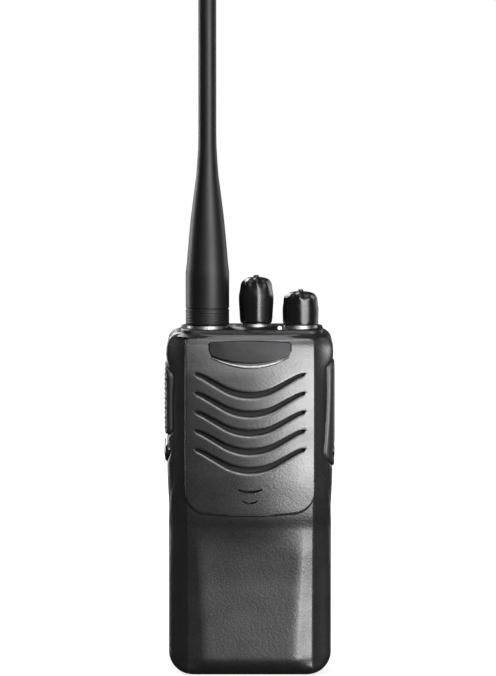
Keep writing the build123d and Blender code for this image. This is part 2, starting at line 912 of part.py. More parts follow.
def control_unit(x):
    """Potentiometer or switch body with its threaded bushing."""
    h = control_body / 2
    z0 = control_top - control_depth
    unit = block(x - h, x + h, control_y - h, control_y + h, z0, control_top)
    top = (mound_top if x == volume_x else island_top) + ring_height
    unit = unit + upright(bushing_radius, control_top - 0.5, top, x, control_y)
    return unit - upright(shaft_radius + slip, z0 + 1.5, top + 1.0, x, control_y)


def control_ring(x, radius, z0):
    ring = upright(radius, z0, z0 + ring_height, x, control_y)
    ring = chamfer(ring.edges().group_by(Axis.Z)[-1], 0.2)
    return ring - upright(bushing_radius, z0 - 1, z0 + 2, x, control_y)


def antenna_receptacle():
    z0 = control_top - 1.2
    tube = upright(receptacle_flange, z0, control_top, antenna_x, control_y)
    tube = tube + upright(receptacle_radius, z0 - 5.0, island_top + collar_height, antenna_x, control_y)
    return tube - upright(ferrule_radius + slip, z0 - 3.6, far * 2, antenna_x, control_y)


def antenna_collar():
    ring = upright(collar_radius, island_top, island_top + collar_height, antenna_x, control_y)
    ring = chamfer(ring.edges().group_by(Axis.Z)[-1], 0.25)
    return ring - upright(receptacle_radius, island_top - 1, island_top + 3, antenna_x, control_y)


def speaker_mesh():
    return along_y(speaker_radius - 0.4, speaker_front - 0.4, speaker_front, 0, speaker_z)


def speaker_frame():
    r = speaker_radius
    back = speaker_front + 4.2
    ring = along_y(r, speaker_front, speaker_front + 1.2, 0, speaker_z)
    ring = ring + Pos(0, speaker_front + 2.6, speaker_z) * Rot(-90, 0, 0) * Cone(r - 1.2, 9.5, 3.2)
    hollow = Pos(0, speaker_front + 1.9, speaker_z) * Rot(-90, 0, 0) * Cone(r - 1.6, 8.4, 3.9)
    ring = ring - hollow
    return ring - along_y(8.0, speaker_front, back + 1.0, 0, speaker_z)


def speaker_cone():
    """Moving cone with its dust cap and voice coil former."""
    r = speaker_radius
    cone = Pos(0, speaker_front + 1.6, speaker_z) * Rot(-90, 0, 0) * Cone(r - 3.6, 6.0, 2.2)
    hollow = Pos(0, speaker_front + 1.3, speaker_z) * Rot(-90, 0, 0) * Cone(r - 3.9, 5.7, 2.2)
    cone = cone - hollow
    return cone + along_y(6.0, speaker_front + 2.3, speaker_front + 3.2, 0, speaker_z)


def speaker_magnet():
    return along_y(9.0, speaker_front + 4.2, speaker_front + 6.5, 0, speaker_z)


def mic_capsule():
    return along_y(mic_radius, speaker_front - 0.2, speaker_front + 2.0, 0, mic_z)


def mic_boot():
    y0 = speaker_front - 0.4
    boot = along_y(mic_radius + 1.0, y0, speaker_front + 2.0, 0, mic_z)
    boot = boot - along_y(mic_radius, speaker_front - 0.2, 0.0, 0, mic_z)
    return boot - along_y(1.0, -20.0, 0.0, 0, mic_z)


def jack(z, plug_radius):
    """Round jack socket lying along X, its mouth behind the flank."""
    x1 = foot_half_width - 2.4
    x0 = x1 - jack_length - 1.0
    body = along_x(jack_body_radius, x0, x1, jack_y, z)
    body = body + block(x0, x0 + 7.0, jack_y - 2.7, jack_y + 2.7, z - 3.3, z + 3.3)
    return body - along_x(plug_radius, x1 - jack_length, x1 + 1.0, jack_y, z)


def side_key_membrane():
    x0 = -(foot_half_width - 3.0)
    return block(x0, x0 + 0.8, -8.0, -0.4, case_top - 41.8, case_top - 9.4)


def side_switches():
    """Small board with three tact switches facing the membrane."""
    x0 = -(foot_half_width - 3.8)
    board = block(x0 + 0.8, x0 + 1.6, -7.8, -0.6, case_top - 41.6, case_top - 9.6)
    for drop in (37.6, 27.0, 17.0):
        z = case_top - drop
        board = board + block(x0, x0 + 0.9, -6.4, -2.4, z - 2.0, z + 2.0)
    return board


def terminal_block():
    z = contact_z()
    housing = block(-9.0, 9.0, board_rear + 0.1, chassis_rear - 0.1, z - 3.5, z + 3.5)
    for x in (-6.0, 0.0, 6.0):
        housing = housing - block(x - 1.4, x + 1.4, 0.3, 5.0, z - 2.8, z + 2.8)
    return housing


def terminal_springs():
    """Bowed contact leaves that press on the battery's pads."""
    z = contact_z()
    leaves = []
    for x in (-6.0, 0.0, 6.0):
        bow = ThreePointArc((0.35, z - 2.5), (pack_front - 0.25, z), (0.35, z + 2.5))
        back = ThreePointArc((0.35, z + 2.2), (pack_front - 0.5, z), (0.35, z - 2.2))
        ends = [Line((0.35, z + 2.5), (0.35, z + 2.2)), Line((0.35, z - 2.2), (0.35, z - 2.5))]
        face = make_face(Wire(bow.edges() + back.edges() + ends[0].edges() + ends[1].edges()))
        leaves.append(from_side(face, x - 1.2, x + 1.2))
    return leaves


def case_gasket():
    """Seal between the chassis edge and the case wall."""
    slab = block(-far, far, chassis_front + 0.2, chassis_rear - 0.2, floor_wall + 0.1, top_under - 0.1)
    ring = (rounded_body(wall + 0.05) & slab) - from_front(front_outline(wall + 0.65), -far, far)
    ring = ring - from_side(hull_of_circles(ptt_circles, 1.4), -40.0, 0.0)
    ring = ring - from_side(hull_of_circles(key_circles, 1.4), -40.0, 0.0)
    return ring - from_side(hull_of_circles(cover_circles, 1.6), 0.0, 40.0)


# ---------------------------------------------------------------- antenna and knobs
def groove_edges(radius, z, depth):
    """A round groove in a straight wall of the profile."""
    return ThreePointArc((radius, z - depth), (radius - depth, z), (radius, z + depth)).edges()


def antenna_profile():
    """Half outline of the antenna as (radius, height above its seat), bored for ferrule and core."""
    start = antenna_taper_start
    end = antenna_taper_end
    length = antenna_length
    r = antenna_radius
    tip = antenna_tip_radius
    core_top = length - 12.0
    edges = [*Line((ferrule_radius, 0), (r - 0.5, 0)).edges(), *Line((r - 0.5, 0), (r, 0.5)).edges()]
    z = 0.5
    for centre, depth in [(1.1 + 0.9 * i, 0.25) for i in range(4)] + [(5.2, 0.45)]:
        edges += Line((r, z), (r, centre - depth)).edges()
        edges += groove_edges(r, centre, depth)
        z = centre + depth
    edges += Line((r, z), (r, start)).edges()
    edges += Spline(
        (r, start),
        (r - 1.75, start + 0.38 * (end - start)),
        (tip + 0.25, end - 4.0),
        (tip, end),
        tangents=((-0.1, 1.0), (0.0, 1.0)),
    ).edges()
    edges += Line((tip, end), (tip, length - tip)).edges()
    shoulder = tip * math.sin(math.radians(45))
    edges += ThreePointArc((tip, length - tip), (shoulder, length - tip + shoulder), (0, length)).edges()
    edges += Line((0, length), (0, core_top)).edges()
    edges += Line((0, core_top), (core_radius, core_top)).edges()
    edges += Line((core_radius, core_top), (core_radius, ferrule_depth)).edges()
    edges += Line((core_radius, ferrule_depth), (ferrule_radius, ferrule_depth)).edges()
    edges += Line((ferrule_radius, ferrule_depth), (ferrule_radius, 0)).edges()
    return make_face(Wire(edges))


def antenna_whip():
    whip = revolve(Plane.XZ * antenna_profile(), Axis.Z)
    return Pos(antenna_x, control_y, antenna_seat) * whip


def antenna_plug():
    """Threaded ferrule, half in the whip and half in the receptacle."""
    z1 = antenna_seat + ferrule_depth
    plug = upright(ferrule_radius, antenna_seat - 9.0, z1, antenna_x, control_y)
    return plug - upright(core_radius, z1 - 3.0, z1 + 1.0, antenna_x, control_y)


def antenna_core():
    z0 = antenna_seat + ferrule_depth - 3.0
    return upright(core_radius, z0, antenna_seat + antenna_length - 12.0, antenna_x, control_y)


def knob(x, seat_z, foot, widest, shoulder, height, flutes):
    """Tapered knob with flutes up its side and a small nub on top."""
    low = height * 0.5
    profile = Polyline(
        (0, 0),
        (foot, 0),
        (widest, low),
        (shoulder, height - 1.4),
        (shoulder - 1.1, height - 0.5),
        (0, height - 0.5),
        close=True,
    )
    body = revolve(Plane.XZ * make_face(profile), Axis.Z)
    body = body + upright(0.85, height - 1.0, height)
    for i in range(flutes):
        turn = Rot(0, 0, 360.0 * i / flutes)
        body = body - turn * Pos(widest + 0.5, 0, height * 0.55) * Cylinder(0.9, height * 0.9)
    body = body - upright(shaft_radius, -1.0, height - 3.0)
    return Pos(x, control_y, seat_z) * body


def knob_shaft(x, seat_z, height):
    z0 = control_top - control_depth + 1.8
    return upright(shaft_radius, z0, seat_z + height - 3.0, x, control_y)


# ---------------------------------------------------------------- buttons and cover
def side_button(circles):
    """Button cap with an inner flange that keeps it in the case."""
    inner_x = -(grip_half_width - wall - 1.2)
    cap = from_side(hull_of_circles(circles), -40.0, inner_x) & lofted_body(-button_proud)
    flange = from_side(hull_of_circles(circles, button_flange), -40.0, inner_x)
    return cap + (flange & lofted_body(wall + 0.2))


def jack_cover():
    cover = skin_patch(hull_of_circles(cover_circles), cover_proud, cover_depth, 1)
    face_x = screw_face_x()
    cover = cover - along_x(cover_screw_radius + 0.3, face_x - 0.95, 40.0, cover_screw_y, cover_screw_z)
    return cover - along_x(cover_screw_core + 0.1, 15.0, 40.0, cover_screw_y, cover_screw_z)


def screw_face_x():
    return grip_half_width + 0.15


def jack_cover_seal():
    """Rubber plugs on the cover's back that close both jacks."""
    x1 = foot_half_width - 0.6
    plugs = []
    for z in (case_top - speaker_jack_drop, case_top - mic_jack_drop):
        plugs.append(along_x(2.0, x1 - 1.4, x1 + 0.2, jack_y, z))
    plugs = [plug & lofted_body(cover_depth) for plug in plugs]
    return plugs


def jack_screw():
    x1 = screw_face_x()
    head = along_x(cover_screw_radius, x1 - 0.9, x1, cover_screw_y, cover_screw_z)
    y = cover_screw_y
    z = cover_screw_z
    cross = block(x1 - 0.5, x1 + 1, y - 1.9, y + 1.9, z - 0.35, z + 0.35)
    cross = cross + block(x1 - 0.5, x1 + 1, y - 0.35, y + 0.35, z - 1.9, z + 1.9)
    core = along_x(cover_screw_core, x1 - cover_screw_length, x1 - 0.8, y, z)
    return head + core - cross


# ---------------------------------------------------------------- write every piece
def write(name, shape):
    """Writes one node; a list of solids is written as one group."""
    if isinstance(shape, (list, tuple)):
        solids = [solid for item in shape for solid in item.solids()]
    else:
        solids = list(shape.solids())
    piece = solids[0] if len(solids) == 1 else Compound(children=solids)
    export_step(piece, f"parts/{name}.step")


def main():
    os.makedirs("parts", exist_ok=True)
    outer = rounded_body()
    inner = rounded_body(wall)

    write("front_case", front_case(outer, inner))
    write("badge_plate", badge_plate())
    write("badge_trim", badge_trim())
    write("label_plate", label_plate())
    write("led_lens", led_lens())
    write("rear_panel", rear_panel(outer, inner))
    write("case_gasket", case_gasket())

    write("speaker_mesh", speaker_mesh())
    write("speaker_frame", speaker_frame())
    write("speaker_cone", speaker_cone())
    write("speaker_magnet", speaker_magnet())
    write("mic_capsule", mic_capsule())
    write("mic_boot", mic_boot())

    write("chassis", chassis())
    write("chassis_screws", chassis_screws())
    write("main_board", main_board())
    write("board_screws", board_screws())
    write("shield_cans", shield_cans())
    write("processor_chips", processor_chips())
    write("side_key_membrane", side_key_membrane())
    write("side_switches", side_switches())
    write("speaker_jack", jack(case_top - speaker_jack_drop, speaker_plug_radius))
    write("mic_jack", jack(case_top - mic_jack_drop, mic_plug_radius))
    write("terminal_block", terminal_block())
    write("terminal_springs", terminal_springs())

    write("volume_control", control_unit(volume_x))
    write("volume_ring", control_ring(volume_x, volume_ring_radius, mound_top))
    write("channel_switch", control_unit(channel_x))
    write("channel_ring", control_ring(channel_x, channel_ring_radius, island_top))
    write("antenna_receptacle", antenna_receptacle())
    write("antenna_collar", antenna_collar())

    write("antenna_whip", antenna_whip())
    write("antenna_plug", antenna_plug())
    write("antenna_core", antenna_core())
    write("volume_knob", knob(volume_x, volume_seat, volume_foot_radius, volume_radius,
                              volume_shoulder_radius, volume_height, 12))
    write("volume_shaft", knob_shaft(volume_x, volume_seat, volume_height))
    write("channel_knob", knob(channel_x, channel_seat, channel_foot_radius, channel_radius,
                               channel_shoulder_radius, channel_height, 12))
    write("channel_shaft", knob_shaft(channel_x, channel_seat, channel_height))

    write("ptt_button", side_button(ptt_circles))
    write("side_button", side_button(key_circles))
    write("jack_cover", jack_cover())
    write("jack_cover_seal", jack_cover_seal())
    write("jack_screw", jack_screw())

    write("battery_rear_case", battery_rear_case(outer))
    write("battery_front_case", battery_front_case())
    write("battery_cells", battery_cells())
    write("cell_tabs", cell_tabs())
    write("battery_board", battery_board())
    write("battery_contacts", battery_contacts())
    write("charging_contacts", charging_contacts())
    write("battery_latch", battery_latch())
    write("latch_spring", latch_spring())


if __name__ == "__main__":
    main()
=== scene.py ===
# %% [markdown]
# # A handheld two way radio
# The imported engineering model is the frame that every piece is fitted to. It says where each part
# sits and how it moves. This lesson builds the parts that are seen, in metres, in the same place.
# Shapes that follow a rule (the moulded shell, the grille, the knobs) are worked out by functions,
# and small things that repeat are made with Geometry Nodes.

# %% Load the frame
import math

import bmesh
import bpy
import numpy as np
from mathutils import Matrix, Vector


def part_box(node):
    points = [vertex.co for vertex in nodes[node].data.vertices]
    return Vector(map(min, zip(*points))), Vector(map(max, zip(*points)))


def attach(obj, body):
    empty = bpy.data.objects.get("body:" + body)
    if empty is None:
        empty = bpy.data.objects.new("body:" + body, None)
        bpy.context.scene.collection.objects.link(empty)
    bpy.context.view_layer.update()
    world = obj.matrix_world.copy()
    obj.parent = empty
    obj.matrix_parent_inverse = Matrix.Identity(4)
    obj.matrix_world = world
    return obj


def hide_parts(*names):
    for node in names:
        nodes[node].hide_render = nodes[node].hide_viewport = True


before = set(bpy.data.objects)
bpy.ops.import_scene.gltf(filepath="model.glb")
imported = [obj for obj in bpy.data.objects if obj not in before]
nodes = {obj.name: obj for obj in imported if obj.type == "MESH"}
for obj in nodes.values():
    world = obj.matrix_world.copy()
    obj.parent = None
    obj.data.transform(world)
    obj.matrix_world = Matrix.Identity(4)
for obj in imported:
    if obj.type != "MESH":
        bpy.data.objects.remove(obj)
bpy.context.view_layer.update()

# %% [markdown]
# ## Sizes taken from the frame
# The places of the controls and the height of the top are read from the boxes of the CAD nodes, so that
# the pieces land in their places. The other sizes are given as numbers.
# Working in millimetres keeps the numbers readable. They are turned to metres when a mesh is made.

# %% Sizes
MM = 0.001


def box_mm(name):
    """Lowest and highest corner of a CAD node, in millimetres."""
    low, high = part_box(name)
    return Vector(low) / MM, Vector(high) / MM


whip_low, whip_high = box_mm("antenna_whip")
volume_low, volume_high = box_mm("volume_knob")
channel_low, channel_high = box_mm("channel_knob")
island_top = box_mm("antenna_collar")[0].z
case_top = island_top - 1.5
rear_face = 11.5
foot_half_width = 25.3
grip_half_width = 26.2
shoulder_half_width = 24.9
front_half_width = 19.5
panel_half_width = 20.1
panel_lip = case_top - 57.9
panel_top = case_top - 0.9
control_y = (whip_low.y + whip_high.y) / 2
antenna_x = (whip_low.x + whip_high.x) / 2
volume_x = (volume_low.x + volume_high.x) / 2
channel_x = (channel_low.x + channel_high.x) / 2
wall = 1.6
print("case top", round(case_top, 2), "island top", round(island_top, 2), "antenna at", round(antenna_x, 2))

# %% [markdown]
# ## Small helpers
# A mesh is made from plain lists of points and faces. Smooth shading with sharp edges above an
# angle keeps round moulded faces soft and real edges crisp, without any modifier left behind.

# %% Mesh helpers
def finish_mesh(mesh, angle=35.0):
    """Smooth shading, with every edge sharper than the angle kept crisp."""
    for polygon in mesh.polygons:
        polygon.use_smooth = True
    mesh.set_sharp_from_angle(angle=math.radians(angle))
    mesh.update()


def new_object(name, points, faces, angle=35.0):
    """A mesh object from points in millimetres."""
    mesh = bpy.data.meshes.new(name)
    mesh.from_pydata([tuple(c * MM for c in p) for p in points], [], faces)
    mesh.validate()
    obj = bpy.data.objects.new(name, mesh)
    bpy.context.scene.collection.objects.link(obj)
    finish_mesh(mesh, angle)
    return obj


def outward(obj):
    """Turns every face of a closed mesh outwards."""
    bm = bmesh.new()
    bm.from_mesh(obj.data)
    bmesh.ops.remove_doubles(bm, verts=bm.verts, dist=1e-7)
    bmesh.ops.recalc_face_normals(bm, faces=bm.faces)
    bm.to_mesh(obj.data)
    bm.free()
    return obj


def bake_modifiers(obj):
    """Turns the evaluated object into a plain mesh and drops its modifiers."""
    graph = bpy.context.evaluated_depsgraph_get()
    mesh = bpy.data.meshes.new_from_object(obj.evaluated_get(graph))
    obj.modifiers.clear()
    old = obj.data
    obj.data = mesh
    bpy.data.meshes.remove(old)
    return obj


def cut(obj, cutter, operation="DIFFERENCE", keep=False):
    """A boolean between closed meshes, applied at once."""
    modifier = obj.modifiers.new("cut", "BOOLEAN")
    modifier.operation = operation
    modifier.object = cutter
    modifier.solver = "MANIFOLD"
    bake_modifiers(obj)
    if not obj.data.vertices:
        print("WARNING: nothing is left after", operation, cutter.name)
    if not keep:
        bpy.data.objects.remove(cutter)
    return obj


def closed_object(name, points, faces, angle=35.0):
    """A closed mesh object with its faces turned outwards and its edges finished."""
    obj = outward(new_object(name, points, faces, angle))
    finish_mesh(obj.data, angle)
    return obj


def linked_copy(name, obj):
    """A new object in the scene with its own copy of another object's mesh."""
    mesh = obj.data.copy()
    mesh.name = name
    copy = bpy.data.objects.new(name, mesh)
    bpy.context.scene.collection.objects.link(copy)
    return copy


def smoothstep(edge0, edge1, value):
    """Nought below one edge and one above the other, with a soft rise between them."""
    t = min(1.0, max(0.0, (value - edge0) / (edge1 - edge0)))
    return t * t * (3 - 2 * t)


def through(knots, z):
    """Smooth monotone value through (z, value) knots."""
    if z <= knots[0][0]:
        return knots[0][1]
    if z >= knots[-1][0]:
        return knots[-1][1]
    i = max(k for k in range(len(knots) - 1) if knots[k][0] <= z)
    (z0, v0), (z1, v1) = knots[i], knots[i + 1]

    def slope(k):
        if k <= 0 or k >= len(knots) - 1:
            return 0.0
        left = (knots[k][1] - knots[k - 1][1]) / (knots[k][0] - knots[k - 1][0])
        right = (knots[k + 1][1] - knots[k][1]) / (knots[k + 1][0] - knots[k][0])
        return 0.0 if left * right <= 0 else 2 * left * right / (left + right)

    h = z1 - z0
    t = (z - z0) / h
    a, b = slope(i) * h, slope(i + 1) * h
    return (
        v0 * (1 + 2 * t) * (1 - t) ** 2
        + a * t * (1 - t) ** 2
        + v1 * t * t * (3 - 2 * t)
        - b * t * t * (1 - t)
    )


# %% [markdown]
# ## The moulded body as a rule
# The real body is one soft shape: a crowned speaker area that leans out, a slimmer grip below it, soft
# facets down the lower front, and rounded ends. One function gives the outline at any height, so
# the case, the rear panel and the battery are all cut from the same body and line up exactly.

# %% Body outline
front_knots = [
    (0, -11.6), (6, -11.7), (20, -11.5), (28, -11.5), (36, -11.9), (41, -12.4), (46, -13.3),
    (50, -14.3), (54, -14.8), (63, -15.5), (77, -15.8), (86, -15.6), (93, -15.0), (98.5, -13.9),
    (103.5, -12.7), (108.2, -11.6),
]
side_knots = [
    (0, foot_half_width), (45, foot_half_width), (53, 25.6), (63, 26.05), (75, grip_half_width),
    (95, grip_half_width), (101, 26.0), (104.5, 25.6), (108.2, shoulder_half_width),
]
ridge_knots = [
    (47, -6.4), (51, -7.5), (55, -8.9), (61, -11.0), (68, -11.6), (75, -11.6), (86, -11.3), (95, -10.5),
    (99.4, -9.0),
]
foot_radius = 6.0
corner_radius = 7.2
crown_side_radius = 3.0
crown_front_radius = 1.2
front_crown = 2.0
crown_rear_radius = 5.0
rear_corner_radius = 4.5
facet_slope = math.tan(math.radians(16))
facet_softness = 0.35


def rounding(radius, from_end):
    """How far a rounded edge has pulled in at a distance from the end of the body."""
    if from_end >= radius:
        return 0.0
    return radius - math.sqrt(max(0.0, radius * radius - (radius - from_end) ** 2))


def body_front(z):
    """The y of the front's middle at a height."""
    return through(front_knots, z)


def crease_x(z):
    """Where the facet starts: it leans outwards as it rises."""
    return 14.3 + 2.1 * smoothstep(0, 50, z)


def front_drop(x, z):
    """How far the front falls back at x: a facet low down, a crown higher up."""
    over = abs(x) - crease_x(z)
    facet = 0.5 * (over + math.sqrt(over * over + facet_softness)) * facet_slope
    facet *= smoothstep(1.0, 5.0, z)
    crown = front_crown * (x / front_half_width) ** 2
    share = smoothstep(37.0, 50.0, z)
    return facet * (1 - share) + crown * share


def body_ring(z, inset=0.0, fine=True):
    """The outline of the body at one height as a closed list of (x, y), front middle first."""
    top = case_top - z
    side = through(side_knots, z) - rounding(corner_radius, z) - rounding(crown_side_radius, top)
    front_pull = rounding(foot_radius, z) + rounding(crown_front_radius, top)
    front = body_front(z) + front_pull
    rear = rear_face - rounding(foot_radius, z) - rounding(crown_rear_radius, top)
    side -= inset
    front += inset
    rear -= inset
    edge = min(front_half_width, side - 1.6) - 0.45 * inset
    counts = (10, 10, 14, 40, 7, 12) if fine else (4, 3, 6, 10, 4, 5)
    crease = min(crease_x(z), edge - 2.0)
    across = [crease * i / counts[0] for i in range(counts[0])]
    across += [crease + (edge - crease) * i / counts[1] for i in range(counts[1])]
    half = [(x, front + front_drop(x, z)) for x in across]
    edge_y = front + front_drop(edge, z)
    flank_y = max(-4.6 - 2.4 * smoothstep(45, 62, z), edge_y + 4.0)
    p0, p3 = (edge, edge_y), (side, flank_y)
    reach = side - edge
    p1 = (edge + 0.52 * reach, edge_y + 0.50 * reach)
    p2 = (side, flank_y - 0.42 * (flank_y - edge_y))
    for i in range(counts[2]):
        t = i / counts[2]
        s = 1 - t
        a, b, c, d = s**3, 3 * s * s * t, 3 * s * t * t, t**3
        half.append((a * p0[0] + b * p1[0] + c * p2[0] + d * p3[0],
                     a * p0[1] + b * p1[1] + c * p2[1] + d * p3[1]))
    r = rear_corner_radius - 0.6 * inset
    for i in range(counts[3]):
        half.append((side, flank_y + (rear - r - flank_y) * i / counts[3]))
    for i in range(counts[4]):
        angle = math.radians(90 * i / counts[4])
        half.append((side - r + r * math.cos(angle), rear - r + r * math.sin(angle)))
    for i in range(counts[5]):
        half.append(((side - r) * (1 - i / counts[5]), rear))
    if fine:
        half = [shape_flank(x, y, z) for x, y in half]
    left = [(-x, y) for x, y in reversed(half[1:])]
    return half + [(0.0, rear)] + left


def shape_flank(x, y, z):
    """Pulls the grip in behind the soft ridge that runs up each flank."""
    if z < 46 or z > 101:
        return x, y
    line = through(ridge_knots, z)
    share = smoothstep(line - 0.2, line + 1.5, y) * smoothstep(46, 54, z) * (1 - smoothstep(97.5, 100.5, z))
    rear_fade = 1 - 0.6 * smoothstep(2.0, 9.0, y)
    return x - 0.42 * share * rear_fade, y


def ring_heights(fine=True):
    """Rows close together where the ends are rounded."""
    steps = 16 if fine else 6
    low = [corner_radius * (1 - math.cos(math.radians(90 * i / steps))) for i in range(steps)]
    high = [case_top - crown_rear_radius * (1 - math.cos(math.radians(90 * i / steps))) for i in range(steps)]
    straight = case_top - crown_rear_radius - corner_radius
    count = int(straight / (0.55 if fine else 3.0))
    middle = [corner_radius + straight * i / count for i in range(count + 1)]
    return low + middle + high[::-1]


def body_solid(name, inset=0.0, fine=True):
    """The body between its foot and its top as a closed mesh."""
    points, faces = [], []
    heights = ring_heights(fine)
    for z in heights:
        moved = z + inset * (1 - 2 * z / case_top) if inset else z
        points += [(x, y, moved) for x, y in body_ring(z, inset, fine)]
    n = len(points) // len(heights)
    for row in range(len(heights) - 1):
        for i in range(n):
            j = (i + 1) % n
            a, b = row * n, (row + 1) * n
            faces.append((a + i, a + j, b + j, b + i))
    faces.append(tuple(reversed(range(n))))
    faces.append(tuple(range((len(heights) - 1) * n, len(heights) * n)))
    return new_object(name, points, faces)


body = body_solid("body_blank")
print("body blank has", len(body.data.polygons), "faces")

# %% [markdown]
# ## Cutting tools
# A boolean needs closed tools. Straight prisms along an axis cover the parting lines and windows,
# and a band drawn tightly round a few circles gives the soft outlines of the buttons and the cover.

# %% Prisms and outlines
def prism(name, outline, axis, start, end):
    """A closed prism: the outline lies in the two other axes, in X, Y, Z order."""
    points = []
    for level in (start, end):
        for a, b in outline:
            points.append({"X": (level, a, b), "Y": (a, level, b), "Z": (a, b, level)}[axis])
    n = len(outline)
    faces = [tuple(range(n)), tuple(range(2 * n - 1, n - 1, -1))]
    faces += [(i, n + i, n + (i + 1) % n, (i + 1) % n) for i in range(n)]
    return outward(new_object(name, points, faces))


def box_tool(x0, x1, y0, y1, z0, z1):
    """A plain block between two corners, as a tool."""
    return prism("box_tool", [(x0, y0), (x1, y0), (x1, y1), (x0, y1)], "Z", z0, z1)


def arc(cx, cy, radius, start, end, steps=8):
    """Points on an arc, angles in degrees."""
    turn = [math.radians(start + (end - start) * i / steps) for i in range(steps + 1)]
    return [(cx + radius * math.cos(t), cy + radius * math.sin(t)) for t in turn]


def band(circles, grow=0.0, count=144):
    """The outline of a tight band round circles (a, b, radius), evenly spaced."""
    raw = []
    for i in range(count * 4):
        t = 2 * math.pi * i / (count * 4)
        n = (math.cos(t), math.sin(t))
        a, b, r = max(circles, key=lambda c: c[0] * n[0] + c[1] * n[1] + c[2])
        raw.append((a + (r + grow) * n[0], b + (r + grow) * n[1]))
    return even(raw, count)


def even(outline, count):
    """The same closed outline with evenly spaced points."""
    points = np.array(outline + [outline[0]])
    steps = np.hypot(*np.diff(points, axis=0).T)
    along = np.concatenate([[0], np.cumsum(steps)])
    at = np.linspace(0, along[-1], count, endpoint=False)
    return list(zip(np.interp(at, along, points[:, 0]), np.interp(at, along, points[:, 1])))


def edge_distance(points, outline):
    """Signed distance of (a, b) points to a closed outline, positive inside."""
    p = np.asarray(points, float)
    a = np.asarray(outline, float)
    b = np.roll(a, -1, axis=0)
    best = np.full(len(p), 1e9)
    inside = np.zeros(len(p), bool)
    for (ax, ay), (bx, by) in zip(a, b):
        dx, dy = bx - ax, by - ay
        t = np.clip(((p[:, 0] - ax) * dx + (p[:, 1] - ay) * dy) / (dx * dx + dy * dy + 1e-12), 0, 1)
        best = np.minimum(best, np.hypot(p[:, 0] - ax - t * dx, p[:, 1] - ay - t * dy))
        crosses = (ay > p[:, 1]) != (by > p[:, 1])
        if dy != 0:
            inside ^= crosses & (p[:, 0] < dx * (p[:, 1] - ay) / dy + ax)
    return np.where(inside, best, -best)


def lathe(name, profile, a, b, segments=96, angle=35.0, axis="Z"):
    """A turned piece from a closed loop of (radius, level) points, with a single point where it meets its axis."""
    turn = [2 * math.pi * i / segments for i in range(segments)]
    points, faces, rings = [], [], []
    for r, level in profile:
        ring = [(a + r * math.cos(t), b + r * math.sin(t)) for t in (turn if r > 1e-6 else turn[:1])]
        rings.append(range(len(points), len(points) + len(ring)))
        points += [(level, u, v) if axis == "X" else (u, v, level) for u, v in ring]
    for low, high in zip(rings, rings[1:] + rings[:1]):
        for i in range(segments):
            j = (i + 1) % segments
            quad = [low[i % len(low)], low[j % len(low)], high[j % len(high)], high[i % len(high)]]
            quad = [v for k, v in enumerate(quad) if v not in quad[:k]]
            if len(quad) > 2:
                faces.append(tuple(quad))
    return closed_object(name, points, faces, angle)


def bar_tool(axis, radius, start, end, a, b, segments=48):
    """A round bar along an axis, centred on the other two coordinates."""
    outline = arc(a, b, radius, 0, 360, segments)[:-1]
    return prism("bar_tool", outline, axis, start, end)


# %% [markdown]
# ## Where the flank is
# Buttons, cover and label follow the flank. The outline function is sampled once into a table, so that
# the flank's x can be asked for at any point.

# %% Flank table
step_z, step_y = 0.5, 0.25
table_z = np.arange(step_z, case_top, step_z)
table_y = np.arange(-15.0, 10.0, step_y)
flank_points = 81
flank_rows = []
for z in table_z:
    xs, ys = np.array(body_ring(float(z))[:flank_points]).T
    order = np.argsort(ys, kind="stable")
    flank_rows.append(np.interp(table_y, ys[order], xs[order]))
flank_table = np.array(flank_rows)


def flank_x(y, z):
    """Distance of the flank from the middle, by straight-line interpolation in the table."""
    a = min(max((z - table_z[0]) / step_z, 0), len(table_z) - 1.001)
    b = min(max((y - table_y[0]) / step_y, 0), len(table_y) - 1.001)
    i, j = int(a), int(b)
    s, t = a - i, b - j
    lower, upper = flank_table[i:i + 2, j:j + 2] @ np.array([1 - t, t])
    return float(lower * (1 - s) + upper * s)


print("flank at the speaker", round(flank_x(0, 78), 2))

# %% [markdown]
# ## Outlines of the side controls
# The talk key, the small key and the jack cover are soft teardrops. Each is a band round a few circles.
# The same outlines cut the windows in the case, a shadow gap larger.

# %% Side outlines
ptt_circles = [
    (-2.6, case_top - 14.8, 4.9), (-5.2, case_top - 15.7, 4.0), (-7.8, case_top - 31.0, 1.7),
    (-2.7, case_top - 27.2, 5.0),
]
key_circles = [(-1.2, case_top - 35.9, 1.9), (-6.3, case_top - 38.2, 2.4), (-4.5, case_top - 39.3, 2.2)]
screw_y, screw_z = -5.6, case_top - 37.9
cover_circles = [
    (screw_y, screw_z, 4.8), (-0.2, case_top - 24.2, 3.0), (-0.7, case_top - 13.2, 3.5),
    (-5.6, case_top - 13.2, 3.5),
]
label_low = 24.4
label_high = label_low + 34.9
label_outline = [(-2.8, label_low), (0.3, label_low), (4.5, label_low + 5.9), (4.5, label_high), (-2.8, label_high)]
shadow_gap = 0.25


def soften_mouth(obj, outline, side, radius, drop):
    """Rolls the flank over towards an opening, so that its edge catches the light."""
    mesh = obj.data
    count = len(mesh.vertices)
    co = np.empty(count * 3)
    mesh.vertices.foreach_get("co", co)
    co = co.reshape(-1, 3)
    low = np.array(outline).min(0) - radius
    high = np.array(outline).max(0) + radius
    p = co / MM
    near = (side * p[:, 0] > 18) & (p[:, 1:] > low).all(axis=1) & (p[:, 1:] < high).all(axis=1)
    index = np.nonzero(near)[0]
    if len(index):
        d = -edge_distance(p[index][:, 1:], outline)
        t = np.clip(1 - d / radius, 0, 1)
        fall = drop * (1 - np.sqrt(np.clip(1 - t * t, 0, 1)))
        co[index, 0] -= side * fall * MM
        mesh.vertices.foreach_set("co", co.ravel())
        mesh.update()


